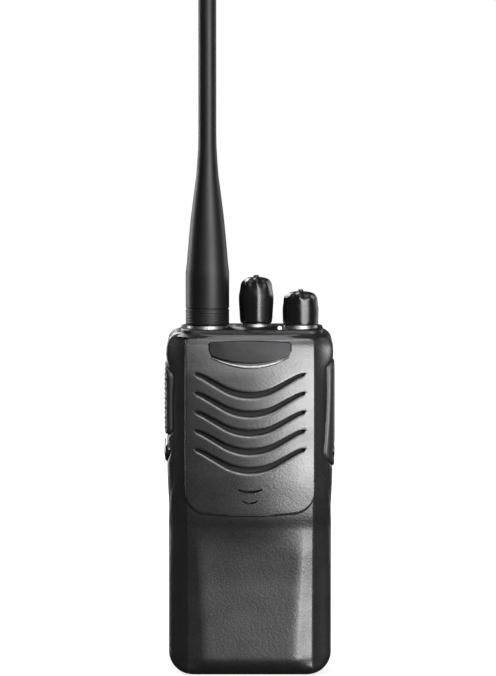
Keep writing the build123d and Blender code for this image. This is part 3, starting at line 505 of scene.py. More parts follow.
soften_mouth(body, band(ptt_circles, shadow_gap), -1, 1.3, 0.6)
soften_mouth(body, band(key_circles, shadow_gap), -1, 1.0, 0.5)
soften_mouth(body, band(cover_circles, shadow_gap), 1, 0.8, 0.35)
print("talk key", round(np.ptp(np.array(band(ptt_circles))[:, 1]), 1), "mm tall")

# %% [markdown]
# ## Parting lines
# Seen from the side, the case ends at a line that drops straight down the flank and swings forward
# at the foot. Behind it sit the battery, below, and a small rear panel, above. Both are cut from the
# same body with a fine shadow gap.

# %% Parting tools
split_low, split_high = 1.7, 6.25
wing_top, wing_end = 22.8, 29.8
battery_top = case_top - 21.6
hood_z = case_top - 6.6
hood_radius = 5.4
gap = 0.3
far, below = 60.0, -5.0


def bend(start, corner, end, steps=8):
    """Points on a curve that rounds a corner."""
    shares = [i / steps for i in range(steps + 1)]
    return [tuple((1 - t) ** 2 * a + 2 * t * (1 - t) * b + t * t * c for a, b, c in zip(start, corner, end))
            for t in shares]


def soft_line(shift):
    """The front edge of the battery as (y, z), with its two bends rounded, moved back by a gap."""
    line = [(split_low, below)]
    line += bend((split_low, wing_top - 2), (split_low, wing_top), (split_low + 1.3, wing_top + 2))
    line += bend((split_high - 1.3, wing_end - 2), (split_high, wing_end), (split_high, wing_end + 2))
    return [(y + shift, z - shift / 2) for y, z in line]


def hood(shift):
    """The rounded top of the rear panel, out to far behind."""
    top = hood_z - shift
    return arc(split_high + shift + hood_radius, top - hood_radius, hood_radius, 180, 90) + [(far, top)]


def battery_region(shift):
    top = battery_top - shift
    return soft_line(shift) + [(split_high + shift, top), (far, top), (far, below)]


def rear_region(shift):
    return soft_line(shift) + hood(shift) + [(far, below)]


def panel_region(shift):
    return [(split_high + shift, battery_top)] + hood(shift) + [(far, battery_top)]


core = body_solid("core", wall, False)
battery_shell = linked_copy("battery_shell", body)
rear_shell = linked_copy("rear_panel_shell", body)
print("parting line runs from", split_low, "to", split_high, "mm behind the middle")

# %% [markdown]
# ## The front case
# The case is the body, hollowed, with everything behind the parting line taken away. Windows are cut
# for the keys, the cover, the label, the jacks and the speaker, and a scoop for a fingertip.

# %% Front case
case = body
case.name = "front_case_shell"
cut(case, core, keep=True)  # the same core hollows the rear panel later
cut(case, prism("rear_tool", rear_region(0.0), "X", -far, far))
cut(case, prism("ptt_tool", band(ptt_circles, shadow_gap), "X", -40, -20))
cut(case, prism("key_tool", band(key_circles, shadow_gap), "X", -40, -20))
print("case shell", len(case.data.polygons), "faces")

# %% [markdown]
# A plate on the flank is laid out as shrinking copies of its outline, each lifted by the edge's roll and
# the dome. With its floor sunk and its face raised far out, the same shape cuts a pocket.

# %% Plates and pockets on the flank
def flank_pocket(name, outline, depth, side=1, rings=10):
    """A tool whose floor follows the flank at a depth, and which reaches out past it."""
    return flank_plate(name, outline, side, 6.0, depth, 0.0, 0.0, rings)


def flank_plate(name, outline, side, proud, depth, edge, dome=0.0, rings=14):
    """A closed plate on the flank: rounded edge, gentle dome, floor at a depth."""
    outline = [(float(a), float(b)) for a, b in outline]
    middle = np.mean(np.array(outline), axis=0)
    n = len(outline)
    shares = [1 - (i / rings) ** 1.6 for i in range(rings)]
    if edge:
        shares = [1, 0.994, 0.985, 0.97, 0.95, 0.92, 0.88] + [0.82 * (1 - i / rings) for i in range(rings)]
    rims = [[(middle[0] + s * (a - middle[0]), middle[1] + s * (b - middle[1])) for a, b in outline]
            for s in shares]
    flat = [p for rim in rims for p in rim] + [tuple(middle)]
    d = np.maximum(edge_distance(flat, outline), 0)
    deepest = d.max()
    points = []
    for (y, z), near in zip(flat, d):
        t = min(1.0, near / edge) if edge else 1.0
        lift = proud - edge * (1 - math.sqrt(max(0.0, 1 - (1 - t) ** 2)))
        lift += dome * (1 - (1 - near / deepest) ** 2)
        points.append((side * (flank_x(y, z) + lift), y, z))
    base = len(points)
    for (y, z) in rims[0]:
        points.append((side * (flank_x(y, z) - depth), y, z))
    if edge:
        faces = [tuple(range(base, base + n))]
    else:
        inner = len(points)
        for rim in rims[1:]:
            points += [(side * (flank_x(y, z) - depth), y, z) for y, z in rim]
        points.append((side * (flank_x(*middle) - depth), *middle))
        starts = [base] + [inner + i * n for i in range(len(rims) - 1)]
        faces = grid_rings(starts, n, len(points) - 1)
    starts = [i * n for i in range(len(rims))]
    faces += grid_rings(starts, n, base - 1)
    faces += [(i, base + i, base + (i + 1) % n, (i + 1) % n) for i in range(n)]
    return closed_object(name, points, faces)


def grid_rings(starts, n, centre):
    """Faces between rings of n points, and a fan from the last ring to the centre point."""
    faces = []
    for a, b in zip(starts, starts[1:]):
        faces += [(a + i, a + (i + 1) % n, b + (i + 1) % n, b + i) for i in range(n)]
    last = starts[-1]
    faces += [(last + i, last + (i + 1) % n, centre) for i in range(n)]
    return faces


cover_seat_depth = 1.35
cut(case, flank_pocket("cover_tool", band(cover_circles, shadow_gap), cover_seat_depth))
cut(case, flank_pocket("label_tool", even(label_outline, 160), 0.25))
for z in (case_top - 16.2, case_top - 27.6):
    cut(case, bar_tool("X", 2.4, 20, 30, -3.3, z))
cut(case, box_tool(-17.9, 17.9, -30, -9, panel_lip + 8.0, case_top - 8.0))


def scoop_tool():
    """An egg-shaped tool for the fingertip scoop."""
    mesh = bpy.data.meshes.new("scoop_tool")
    bm = bmesh.new()
    bmesh.ops.create_uvsphere(bm, u_segments=64, v_segments=40, radius=1.0)
    place = Matrix.Translation(Vector((31.6, -4.4, case_top - 8.0)) * MM)
    place @= Matrix.Rotation(math.radians(12), 4, "X") @ Matrix.Diagonal((7.0 * MM, 6.0 * MM, 7.6 * MM, 1.0))
    bm.transform(place)
    bm.to_mesh(mesh)
    bm.free()
    tool = bpy.data.objects.new("scoop_tool", mesh)
    bpy.context.scene.collection.objects.link(tool)
    return tool


cut(case, scoop_tool())
for x in (antenna_x, volume_x, channel_x):
    cut(case, bar_tool("Z", 5.0, case_top - 6, case_top + 6, x, control_y))
finish_mesh(case.data)
print("case with its windows has", len(case.data.polygons), "faces")

# %% [markdown]
# ## The speaker panel
# The raised panel is a crowned skin with a crisp lower lip and five smile-shaped slots. Its mesh rows
# follow the slots: every row is shifted by the same smile curve, so slot edges lie on mesh rows
# and stay crisp. The skin is then given its thickness.

# %% Panel surface
slot_pitch = 5.83
slot_mids = [case_top - 20.0 - slot_pitch * i for i in range(5)][::-1]
slot_reach = 17.1
smile_radius = 17.0
smile_angle = math.radians(29)
smile_ease = 13.6
slot_half = 0.78
lip_roll = 1.15
plain_rows = 26
panel_proud = 0.62
foot_corner, top_corner = 6.2, 2.0


def smile(x):
    """How far a slot has risen at x: an arc, then its tangent, which eases off near the tip."""
    a = abs(x)
    arc_end = smile_radius * math.sin(smile_angle)
    if a < arc_end:
        return smile_radius - math.sqrt(smile_radius**2 - a * a)
    rise = smile_radius * (1 - math.cos(smile_angle)) + (a - arc_end) * math.tan(smile_angle)
    return rise - 0.057 * max(0.0, a - smile_ease) ** 2


def panel_y(x, z):
    """The y of the panel's face: it stands a little proud of the body and shares its crown."""
    pull = rounding(crown_front_radius, case_top - z)
    return body_front(z) - panel_proud + pull + front_crown * (x / front_half_width) ** 2


def corner_lift(x, radius):
    """How far a rounded corner of the panel has pulled in at x."""
    return radius - math.sqrt(max(0.0, radius**2 - max(0.0, abs(x) - (panel_half_width - radius)) ** 2))


def panel_low(x):
    return panel_lip + 1.2 * (abs(x) / panel_half_width) ** 2 + corner_lift(x, foot_corner)


def panel_high(x):
    return panel_top - corner_lift(x, top_corner)


def slot_half_at(x):
    """Half the height of a slot at x: it thins outwards and closes over the last millimetre."""
    a = abs(x)
    body_part = slot_half - 0.42 * (a / slot_reach) ** 2
    tip = max(0.0, (a - (slot_reach - 1.2)) / 1.2)
    return max(0.03, body_part * math.sqrt(max(0.0, 1 - tip * tip)))


def panel_rows(x):
    """Heights of the mesh rows at x, with what each row is: (z, dip, open above)."""
    low, high = panel_low(x), panel_high(x)
    near_slot = 1 - smoothstep(slot_reach - 0.5, slot_reach + 0.9, abs(x))
    h = slot_half_at(x)
    reach = lip_roll * min(1.0, h / 0.5)
    centres = [middle + smile(x) for middle in slot_mids]
    rolls = [centre - h - reach for centre in centres]
    shares = [i / plain_rows for i in range(plain_rows)]
    rows = [(low + (rolls[0] - low) * (t * t * (3 - 2 * t) * 0.35 + t * 0.65), 0.0, False) for t in shares]
    for k, (roll, centre) in enumerate(zip(rolls, centres)):
        for i in range(6):
            t = math.sin(math.radians(90 * i / 6))
            rows.append((roll + reach * t, near_slot * 0.9 * reach * (1 - math.sqrt(1 - t * t)), False))
        top = centre + h
        rows += [(centre - h, near_slot * 0.9 * reach, True), (top, near_slot * 0.22, False),
                 (top + 0.08, near_slot * 0.06, False), (top + 0.22, 0.0, False)]
        if k + 1 < len(rolls):
            begin = top + 0.22
            rows += [(begin + (rolls[k + 1] - begin) * i / 6, 0.0, False) for i in range(1, 6)]
    begin = rows[-1][0]
    return rows + [(begin + (high - begin) * i / plain_rows, 0.0, False) for i in range(1, plain_rows + 1)]


def panel_columns():
    """The x of every mesh column, closer together at the slot tips and the panel's edge."""
    w = panel_half_width
    inner = [i * 0.3 for i in range(int((w - 0.9) / 0.3) + 1)]
    outer = [w - 0.6, w - 0.4, w - 0.25, w - 0.12, w - 0.04, w]
    tips = [slot_reach - 0.1, slot_reach - 0.03, slot_reach]
    half = sorted(set(round(v, 3) for v in inner + outer + tips))
    return [-v for v in half[:0:-1]] + half


print("slot tips rise", round(smile(slot_reach), 2), "mm")

# %% Panel mesh
columns = panel_columns()
grid = [panel_rows(x) for x in columns]
row_count = len(grid[0])
panel_outline = [(x, panel_low(x)) for x in columns] + [(x, panel_high(x)) for x in reversed(columns)]
flat = [(x, row[0]) for x, rows in zip(columns, grid) for row in rows]
rim = edge_distance(flat, panel_outline)
panel_points = []
for (x, z), near, row in zip(flat, rim, [row for rows in grid for row in rows]):
    t = min(1.0, max(0.0, near) / 0.45)
    roll = 0.35 * (1 - math.sqrt(max(0.0, 1 - (1 - t) ** 2)))
    panel_points.append((x, panel_y(x, z) + roll + row[1], z))
panel_faces = []
for c in range(len(columns) - 1):
    for r in range(row_count - 1):
        middle_x = (columns[c] + columns[c + 1]) / 2
        if grid[c][r][2] and abs(middle_x) < slot_reach:
            continue
        a, b = c * row_count + r, (c + 1) * row_count + r
        panel_faces.append((a, b, b + 1, a + 1))
panel = new_object("speaker_panel", panel_points, panel_faces, 40)
thick = panel.modifiers.new("thickness", "SOLIDIFY")
thick.thickness = 1.7 * MM
thick.offset = -1
thick.use_even_offset = False
bake_modifiers(panel)
outward(panel)
finish_mesh(panel.data, 38)
print("panel has", len(panel.data.polygons), "faces and", row_count, "rows")

# %% [markdown]
# The two small microphone slots under the grille are cut as shallow smiles with round ends, and the
# badge and its trim get seats a little larger than themselves, so that a dark line runs round them.

# %% Microphone slots
def smile_bar(z, half_width, half_height, lift, blunt=0.15):
    """A smile-shaped outline as (x, z): full height in the middle, blunt gives the share at its ends."""
    steps = 20
    spots = [2 * i / steps - 1 for i in range(steps + 1)]
    thick = [half_height * (blunt + (1 - blunt) * math.sqrt(max(0.0, 1 - u * u))) for u in spots]
    top = [(half_width * u, z + h + lift * u * u) for u, h in zip(spots, thick)]
    low = [(half_width * u, z - h + lift * u * u) for u, h in zip(spots, thick)]
    return top + low[::-1]


for z, half_width, half_height in ((case_top - 50.1, 3.9, 0.42), (case_top - 53.6, 2.5, 0.34)):
    for piece in (panel, case):
        cut(piece, prism("mic_tool", smile_bar(z, half_width, half_height, 0.8), "Y", -30, -12.6))
finish_mesh(case.data)
print("panel after the slots", len(panel.data.polygons), "faces")


# %% Plates on the panel
def front_plate(name, low, high, half_width, proud, depth, edge, columns=72, rows=20):
    """A thin plate that lies on the speaker panel between two edge curves."""
    xs = [half_width * math.sin(math.radians(-90 + 180 * i / columns)) for i in range(columns + 1)]
    outline = [(x, low(x)) for x in xs] + [(x, high(x)) for x in reversed(xs)]
    shares = [0.5 - 0.5 * math.cos(math.radians(180 * i / rows)) for i in range(rows + 1)]
    flat = [(x, low(x) + (high(x) - low(x)) * s) for x in xs for s in shares]
    near = np.maximum(edge_distance(flat, outline), 0)
    points = []
    for (x, z), d in zip(flat, near):
        t = min(1.0, d / edge) if edge else 1.0
        points.append((x, panel_y(x, z) - proud + edge * (1 - math.sqrt(max(0.0, 1 - (1 - t) ** 2))), z))
    points += [(x, panel_y(x, z) + depth, z) for x, z in flat]
    r, half = rows + 1, len(flat)
    faces = []
    for c in range(columns):
        for k in range(rows):
            a, b = c * r + k, (c + 1) * r + k
            faces += [(a, b, b + 1, a + 1), (half + a, half + a + 1, half + b + 1, half + b)]
        for k in (0, rows):
            a, b = c * r + k, (c + 1) * r + k
            faces.append((a, b, half + b, half + a) if k else (a, half + a, half + b, b))
    for c in (0, columns):
        for k in range(rows):
            a = c * r + k
            faces.append((a, a + 1, half + a + 1, half + a) if not c else (a, half + a, half + a + 1, a + 1))
    return closed_object(name, points, faces)


# %% Badge and trim
badge_top = case_top - 4.0
badge_half, trim_half = 12.7, 12.0


def badge_low(x, grow=0.0):
    a = min(1.0, abs(x) / badge_half)
    return badge_top - 6.4 + 2.4 * a * a + 1.5 * max(0.0, a - 0.93) / 0.07 - grow


def badge_high(x, grow=0.0):
    a = min(1.0, abs(x) / badge_half)
    return badge_top + 0.55 * (1 - a * a) - 0.5 * max(0.0, a - 0.97) / 0.03 + grow


def trim_high(x, grow=0.0):
    return badge_top - 6.95 + 2.5 * (abs(x) / trim_half) ** 2 + grow


def trim_low(x, grow=0.0):
    return trim_high(x) - 1.0 + 0.7 * (abs(x) / trim_half) ** 2 - grow


badge_gap, trim_gap = 0.22, 0.12
cut(panel, front_plate("badge_tool", lambda x: badge_low(x * 0.985, badge_gap),
                       lambda x: badge_high(x * 0.985, badge_gap), badge_half + badge_gap, 3.0, 0.55, 0.0))
cut(panel, front_plate("trim_tool", lambda x: trim_low(x, trim_gap), lambda x: trim_high(x, trim_gap),
                       trim_half + 0.15, 3.0, 0.55, 0.0))
finish_mesh(panel.data, 38)
badge = front_plate("badge", badge_low, badge_high, badge_half, 0.28, 0.5, 0.3)
trim = front_plate("badge_arc", trim_low, trim_high, trim_half, 0.42, 0.5, 0.3, 72, 8)
print("badge is", round(badge_high(0) - badge_low(0), 2), "mm tall in the middle")

# %% [markdown]
# ## Grille cloth
# Behind the slots hangs one piece of woven cloth, glued to the inside of the panel. It follows the
# panel's crown, so the slots show the same dark weave right to their tips.

# %% Cloth behind the slots
def curved_sheet(name, half_width, low, high, behind, thickness, columns=40, rows=40):
    """A thin closed sheet that follows the inside of the speaker panel."""
    points = []
    for depth in (behind, behind + thickness):
        points += [(x, panel_y(x, z) + depth, z) for z in np.linspace(low, high, rows + 1)
                   for x in np.linspace(-half_width, half_width, columns + 1)]
    w, layer = columns + 1, (columns + 1) * (rows + 1)
    faces = []
    for r in range(rows):
        for c in range(columns):
            a = r * w + c
            faces.append((a, a + 1, a + 1 + w, a + w))
            faces.append((layer + a, layer + a + w, layer + a + 1 + w, layer + a + 1))
    ring_ids = ([c for c in range(columns)] + [r * w + columns for r in range(rows)]
                + [rows * w + c for c in range(columns, 0, -1)] + [r * w for r in range(rows, 0, -1)])
    faces += [(a, layer + a, layer + b, b) for a, b in zip(ring_ids, ring_ids[1:] + ring_ids[:1])]
    return closed_object(name, points, faces)


cloth = curved_sheet("grille_cloth", 17.7, panel_lip + 8.3, case_top - 8.3, 1.85, 0.2)
print("cloth has", len(cloth.data.polygons), "faces")

# %% [markdown]
# ## Rear panel and battery
# The rear panel closes the top of the back. The battery's back half is a thin-walled tray with guide
# grooves for the charger on both flanks, and a raised pad that laps over the panel's lower edge.

# %% Rear panel
cut(rear_shell, core)
cut(rear_shell, prism("region", panel_region(gap), "X", -far, far), "INTERSECT")
clip_z = battery_top + 4.2
rib_z = battery_top + 8.4
for side in (-1, 1):
    cut(rear_shell, bar_tool("Y", 3.1, split_high + 0.7, rear_face - 0.8, side * 9.0, clip_z), "UNION")
    cut(rear_shell, bar_tool("Y", 1.5, 0, 20, side * 9.0, clip_z))
    cut(rear_shell, bar_tool("Y", 2.4, rear_face - 0.35, 20, side * 9.0, clip_z))
rib = prism("rib", smile_bar(rib_z, 14.0, 0.8, 0.0, 0.5), "Y", rear_face - 1.0, rear_face + 0.65)
cut(rear_shell, rib, "UNION")
finish_mesh(rear_shell.data)
print("rear panel", len(rear_shell.data.polygons), "faces")

# %% [markdown]
# The battery's back half is first cut out of the body and hollowed. Its wall is thinner than the case's,
# because the cells fill it to the brim.

# %% Battery tray
tray_wall = 1.3
inset = gap + tray_wall
back, lid = rear_face - tray_wall, battery_top - gap - tray_wall
hollow = [(split_low + inset, 2.0)]
hollow += [(min(y, back), min(z, lid)) for y, z in battery_region(inset) if z > 0]
hollow.append((back, 2.0))
cut(battery_shell, prism("region", battery_region(gap), "X", -far, far), "INTERSECT")
cut(battery_shell, prism("hollow", hollow, "X", -23.8, 23.8))
tray_half = 21.5 - tray_wall
cut(battery_shell, box_tool(-tray_half, tray_half, 0, split_high + gap + 2, 31.4, battery_top - 3.9))
print("battery tray", len(battery_shell.data.polygons), "faces")

# %% [markdown]
# The raised pad carries the latch. Its side profile swells gently and laps over the rear panel, and a
# second prism rounds its upper corners.

# %% Latch pad
pad_top = battery_top + 1.6
pad_low = pad_top - 20.0
pad_profile = [(rear_face - 2.4, pad_low + 1.6), (rear_face, pad_low), (rear_face + 0.5, pad_low + 0.25)]
pad_profile += arc(rear_face + 1.1, pad_low + 2.2, 0.8, -50, 0, 6)
pad_profile += [(rear_face + 1.9, pad_low + 2.4)]
pad_profile += [(rear_face + 1.9 - 1.5 * t * t, pad_top - 3.6 + 3.5 * t) for t in [i / 8 for i in range(9)]]
pad_profile += [(rear_face + 0.27, pad_top), (rear_face + 0.25, battery_top - gap),
                (rear_face - 2.4, battery_top - gap)]
pad_half = 17.0
latch_pad = prism("latch_pad", pad_profile, "X", -pad_half, pad_half)
pad_outline = [(-pad_half, pad_low - 1), (pad_half, pad_low - 1), (pad_half, pad_top - 4)]
pad_outline += arc(pad_half - 4.0, pad_top - 3.9, 4.0, 0, 90) + arc(4.0 - pad_half, pad_top - 3.9, 4.0, 90, 180)
pad_outline.append((-pad_half, pad_top - 4))
cut(latch_pad, prism("round_ends", even(pad_outline, 120), "Y", 0, 30), "INTERSECT")
cut(battery_shell, latch_pad, "UNION")
latch_top = battery_top - 2.0
latch_height, latch_travel = 10.6, 2.5
latch_high = latch_top + 0.3
latch_low = latch_high - latch_height - latch_travel - 1.4
mouth = []
for x, z, start in ((-5.3, latch_high - 2.0, 90), (-5.3, latch_low + 2.0, 180), (5.3, latch_low + 2.0, 270),
                    (5.3, latch_high - 2.0, 0)):
    mouth += arc(x, z, 2.0, start, start + 90)
cut(battery_shell, prism("mouth", mouth, "Y", rear_face - 0.2, 20))
cut(battery_shell, box_tool(-8.6, 8.6, rear_face - 1.25, rear_face - 0.1, latch_low, latch_high))
print("pad from", round(pad_low, 1), "to", round(pad_top, 1))

# %% Grooves and contacts
for side in (-1, 1):
    reach = sorted((side * (foot_half_width - 1.0), side * 40))
    pocket = even(arc(8.6, 16.5, 1.0, 0, 180) + arc(8.6, 6.5, 1.0, 180, 360), 48)
    cut(battery_shell, prism("groove", pocket, "X", *reach))
    channel = [(4.3, 18.1)] + arc(5.3, 18.1, 1.0, 180, 0)[1:] + [(6.3, 6.6), (4.4, -1.0), (2.5, -1.0), (4.3, 7.2)]
    cut(battery_shell, prism("groove", channel, "X", *reach))
contact_z = 14.0
for x in (-9.0, 9.0):
    cut(battery_shell, bar_tool("Y", 2.0, rear_face - 0.5, 20, x, contact_z))
finish_mesh(battery_shell.data)
print("battery shell", len(battery_shell.data.polygons), "faces")

# %% [markdown]
# ## Pieces that repeat
# Geometry Nodes are the natural tool for ribs, dots and knurls: one small shape, a rule for the places,
# and named inputs for the sizes. Each tree ends by making its instances real and giving them a material.

# %% Node helpers
def add_node(tree, kind, links=None, **settings):
    """Adds a node, sets its plain settings, then its inputs by name or place: a socket or a value."""
    node = tree.nodes.new(kind)
    for key, value in settings.items():
        setattr(node, key, value)
    for key, value in (links or {}).items():
        socket = node.inputs[key]
        if isinstance(value, bpy.types.NodeSocket):
            tree.links.new(value, socket)
        else:
            socket.default_value = value
    return node


def srgb(code, alpha=1.0):
    """Linear colour from an sRGB hex value."""
    parts = [int(code[i:i + 2], 16) / 255 for i in (1, 3, 5)]
    linear = [c / 12.92 if c <= 0.04045 else ((c + 0.055) / 1.055) ** 2.4 for c in parts]
    return (*linear, alpha)


print("charcoal is", [round(c, 3) for c in srgb("#2f3032")])

# %% [markdown]
# Two low ribs on the case's back wall hold the battery off it. They stand in the parting gap, and
# stop light from passing straight through from flank to flank.

# %% Stand-off ribs
standoffs = box_tool(-21.0, -19.5, split_low - 0.5, split_low + 0.24, 6.5, 21.5)
cut(standoffs, box_tool(19.5, 21.0, split_low - 0.5, split_low + 0.24, 6.5, 21.5), "UNION")
standoffs.name = "battery_standoffs"

# %% [markdown]
# ## The control island
# The three controls stand on one low island with rounded corners. It is stacked from the same rounded
# outline at several heights, pulled in a little near the top, so its edge is soft.

# %% Island
def rounded_outline(x0, x1, y0, y1, radius, inset=0.0):
    """A rectangle with round corners as a closed outline."""
    r = max(0.2, radius - inset)
    x0, x1, y0, y1 = x0 + inset, x1 - inset, y0 + inset, y1 - inset
    return (arc(x1 - r, y0 + r, r, -90, 0, 10) + arc(x1 - r, y1 - r, r, 0, 90, 10)
            + arc(x0 + r, y1 - r, r, 90, 180, 10) + arc(x0 + r, y0 + r, r, 180, 270, 10))


def stack(name, outline, levels, angle=35.0):
    """A solid from one outline function at several (inset, z) levels, low to high."""
    rings = [outline(inset) for inset, _ in levels]
    n = len(rings[0])
    points = [(x, y, z) for ring, (_, z) in zip(rings, levels) for x, y in ring]
    faces = [tuple(reversed(range(n)))]
    for k in range(len(levels) - 1):
        faces += [(k * n + i, k * n + (i + 1) % n, (k + 1) * n + (i + 1) % n, (k + 1) * n + i) for i in range(n)]
    faces.append(tuple(range((len(levels) - 1) * n, len(levels) * n)))
    return closed_object(name, points, faces, angle)


def rolled(top, radius, steps=6):
    """(inset, z) levels of a rounded top edge."""
    turns = [math.radians(90 * i / steps) for i in range(steps + 1)]
    return [(radius * (1 - math.cos(t)), top - radius + radius * math.sin(t)) for t in turns]


island = stack("control_island", lambda inset: rounded_outline(-21.7, 22.8, -9.6, 7.5, 4.6, inset),
               [(-1.6, case_top - 0.6), (-0.9, case_top - 0.15), (-0.35, case_top + 0.1), (0.0, case_top + 0.45)]
               + rolled(island_top, 0.7))
mound_top = island_top + 0.6
mound = lathe("mound", [(0, island_top - 0.5), (8.6, island_top - 0.5), (8.3, island_top), (7.6, island_top + 0.12),
                        (7.0, island_top + 0.42), (6.6, mound_top - 0.04), (6.2, mound_top), (0, mound_top)],
              volume_x, control_y)
cut(island, mound, "UNION")
for x, top in ((antenna_x, island_top), (volume_x, mound_top), (channel_x, island_top)):
    cut(island, bar_tool("Z", 4.95, case_top - 3, case_top + 6, x, control_y, 64))
led_x, led_y = 9.2, -7.0
cut(island, bar_tool("Z", 0.75, case_top - 3, case_top + 6, led_x, led_y, 32))
finish_mesh(island.data)
led_radius = 0.68
led_profile = [(0, case_top), (led_radius, case_top)] + arc(0, island_top + 0.25, led_radius, 0, 80, 5)
led = lathe("led_dome", led_profile + [(0, island_top + 0.93)], led_x, led_y, 32)
print("island", len(island.data.polygons), "faces")

# %% [markdown]
# ## The sloping crown
# Seen from the side, the top of the radio falls about five degrees towards the front, while the
# controls stand upright. Every point near the top is let down in proportion to how far forward it is.
# This bares more of each ring at the front, as a bright crescent.

# %% Slope the crown
island_sink = 0.45
crown_fall = 0.083


def slope_down(obj, start, full, fall=crown_fall, pivot=7.5):
    """Lowers points in front of the pivot line, fully above one height and not at all below another."""
    mesh = obj.data
    for vertex in mesh.vertices:
        x, y, z = vertex.co / MM
        share = smoothstep(start, full, z)
        vertex.co.z -= fall * share * max(0.0, pivot - y) * MM
    mesh.update()


for piece, start, full in ((case, case_top - 6.0, case_top - 0.8), (panel, case_top - 6.0, case_top - 0.8),
                           (island, case_top - 9.0, case_top - 8.0), (led, case_top - 9.0, case_top - 8.0)):
    slope_down(piece, start, full)
for piece in (island, led):
    piece.data.transform(Matrix.Translation((0.0, 0.0, -island_sink * MM)))
print("crown falls", round(crown_fall * 17.1, 2), "mm across the island")

# %% [markdown]
# The metal frame under the case is flat on top in the frame model, and its front corners would show
# through the lowered crown. A merged copy of it is let down in the same way, well under the plastic.

# %% Chassis under the crown
def merged_copy(name, node):
    """A copy of a frame node's mesh with its doubled points merged."""
    piece = linked_copy(name, node)
    bm = bmesh.new()
    bm.from_mesh(piece.data)
    bmesh.ops.remove_doubles(bm, verts=bm.verts, dist=1e-6)
    bm.to_mesh(piece.data)
    bm.free()
    return piece


chassis_shell = merged_copy("chassis_shell", nodes["chassis"])
slope_down(chassis_shell, case_top - 9.0, case_top - 6.0, fall=0.14)
print("chassis copy has", len(chassis_shell.data.polygons), "faces")

# %% [markdown]
# ## Rings and collar
# Each control stands in a turned metal ring. A lathe profile with small chamfers gives the bright
# crescent that shows at the foot of each knob and of the antenna.

# %% Rings
def ring(name, x, top, outer, inner, drop=2.4, flare=0.55):
    """A ring whose wall flares towards its foot, so it turns its face up to the light."""
    c = 0.2
    profile = [(inner, top - drop), (outer + flare, top - drop), (outer, top - c), (outer - c, top),
               (inner + 0.15, top), (inner, top - 0.15)]
    return lathe(name, profile, x, control_y, 96, 28)


skirt_z = island_top - 0.55
volume_foot, channel_foot = volume_low.z - 1.4, channel_low.z - 1.2
collar = ring("antenna_foot_ring", antenna_x, skirt_z - 0.06, 6.3, 4.9)
volume_ring = ring("volume_foot_ring", volume_x, volume_foot - 0.06, 4.75, 3.2)
channel_ring = ring("channel_foot_ring", channel_x, channel_foot - 0.06, 5.2, 3.2)
print("rings stand", round(skirt_z, 2), round(volume_foot, 2), round(channel_foot, 2))

# %% [markdown]
# ## The antenna
# A whip is moulded rubber over a coil: a stout root with fine grip rings, a long taper, then a
# straight rod with a round tip. It is a turned shape, so its outline is all that is needed.

# %% Antenna
seat_z = whip_low.z
whip_top = whip_high.z
root, rod = 6.8, 2.8
taper_end = 60
taper_knots = [
    (0, root), (14.5, root), (17.0, 6.5), (21.5, 6.12), (26, 5.72), (31, 5.24), (36, 4.64), (41, 4.0),
    (45, 3.48), (50, 3.1), (54.5, 2.86), (taper_end, rod),
]
profile = [(5.6, skirt_z), (root - 0.3, skirt_z), (root - 0.1, skirt_z + 0.1), (root, skirt_z + 0.3)]
for groove, width, depth in [(1.1 + 0.85 * i, 0.2, 0.09) for i in range(4)] + [(5.05, 0.3, 0.24)]:
    for i in range(9):
        t = math.radians(180 - 180 * i / 8)
        profile.append((root - depth * math.sin(t), skirt_z + groove + width * math.cos(t)))
level = 4.4
while level < taper_end:
    profile.append((through(taper_knots, level), seat_z + level))
    level += 1.3
profile.append((rod, seat_z + 62))
profile.append((rod, (seat_z + 62 + whip_top) / 2))
profile += arc(0, whip_top - rod, rod, 0, 81, 9)
profile += [(0.0, whip_top), (0.0, seat_z + 12), (3.3, seat_z + 12), (3.3, seat_z), (5.6, seat_z)]
whip = lathe("whip_cover", profile, antenna_x, control_y, 80, 50)
print("whip", round(whip_top - seat_z, 1), "mm long")

# %% [markdown]
# ## The knobs
# Each knob is a soft barrel with broad flats round it. Shallow ridges fan out over the crown from a small
# nub. The radius is worked out from height and angle, so flats and ridges blend as they do in a mould.

# %% Knobs
nub_height, crown_depth = 0.85, 3.6


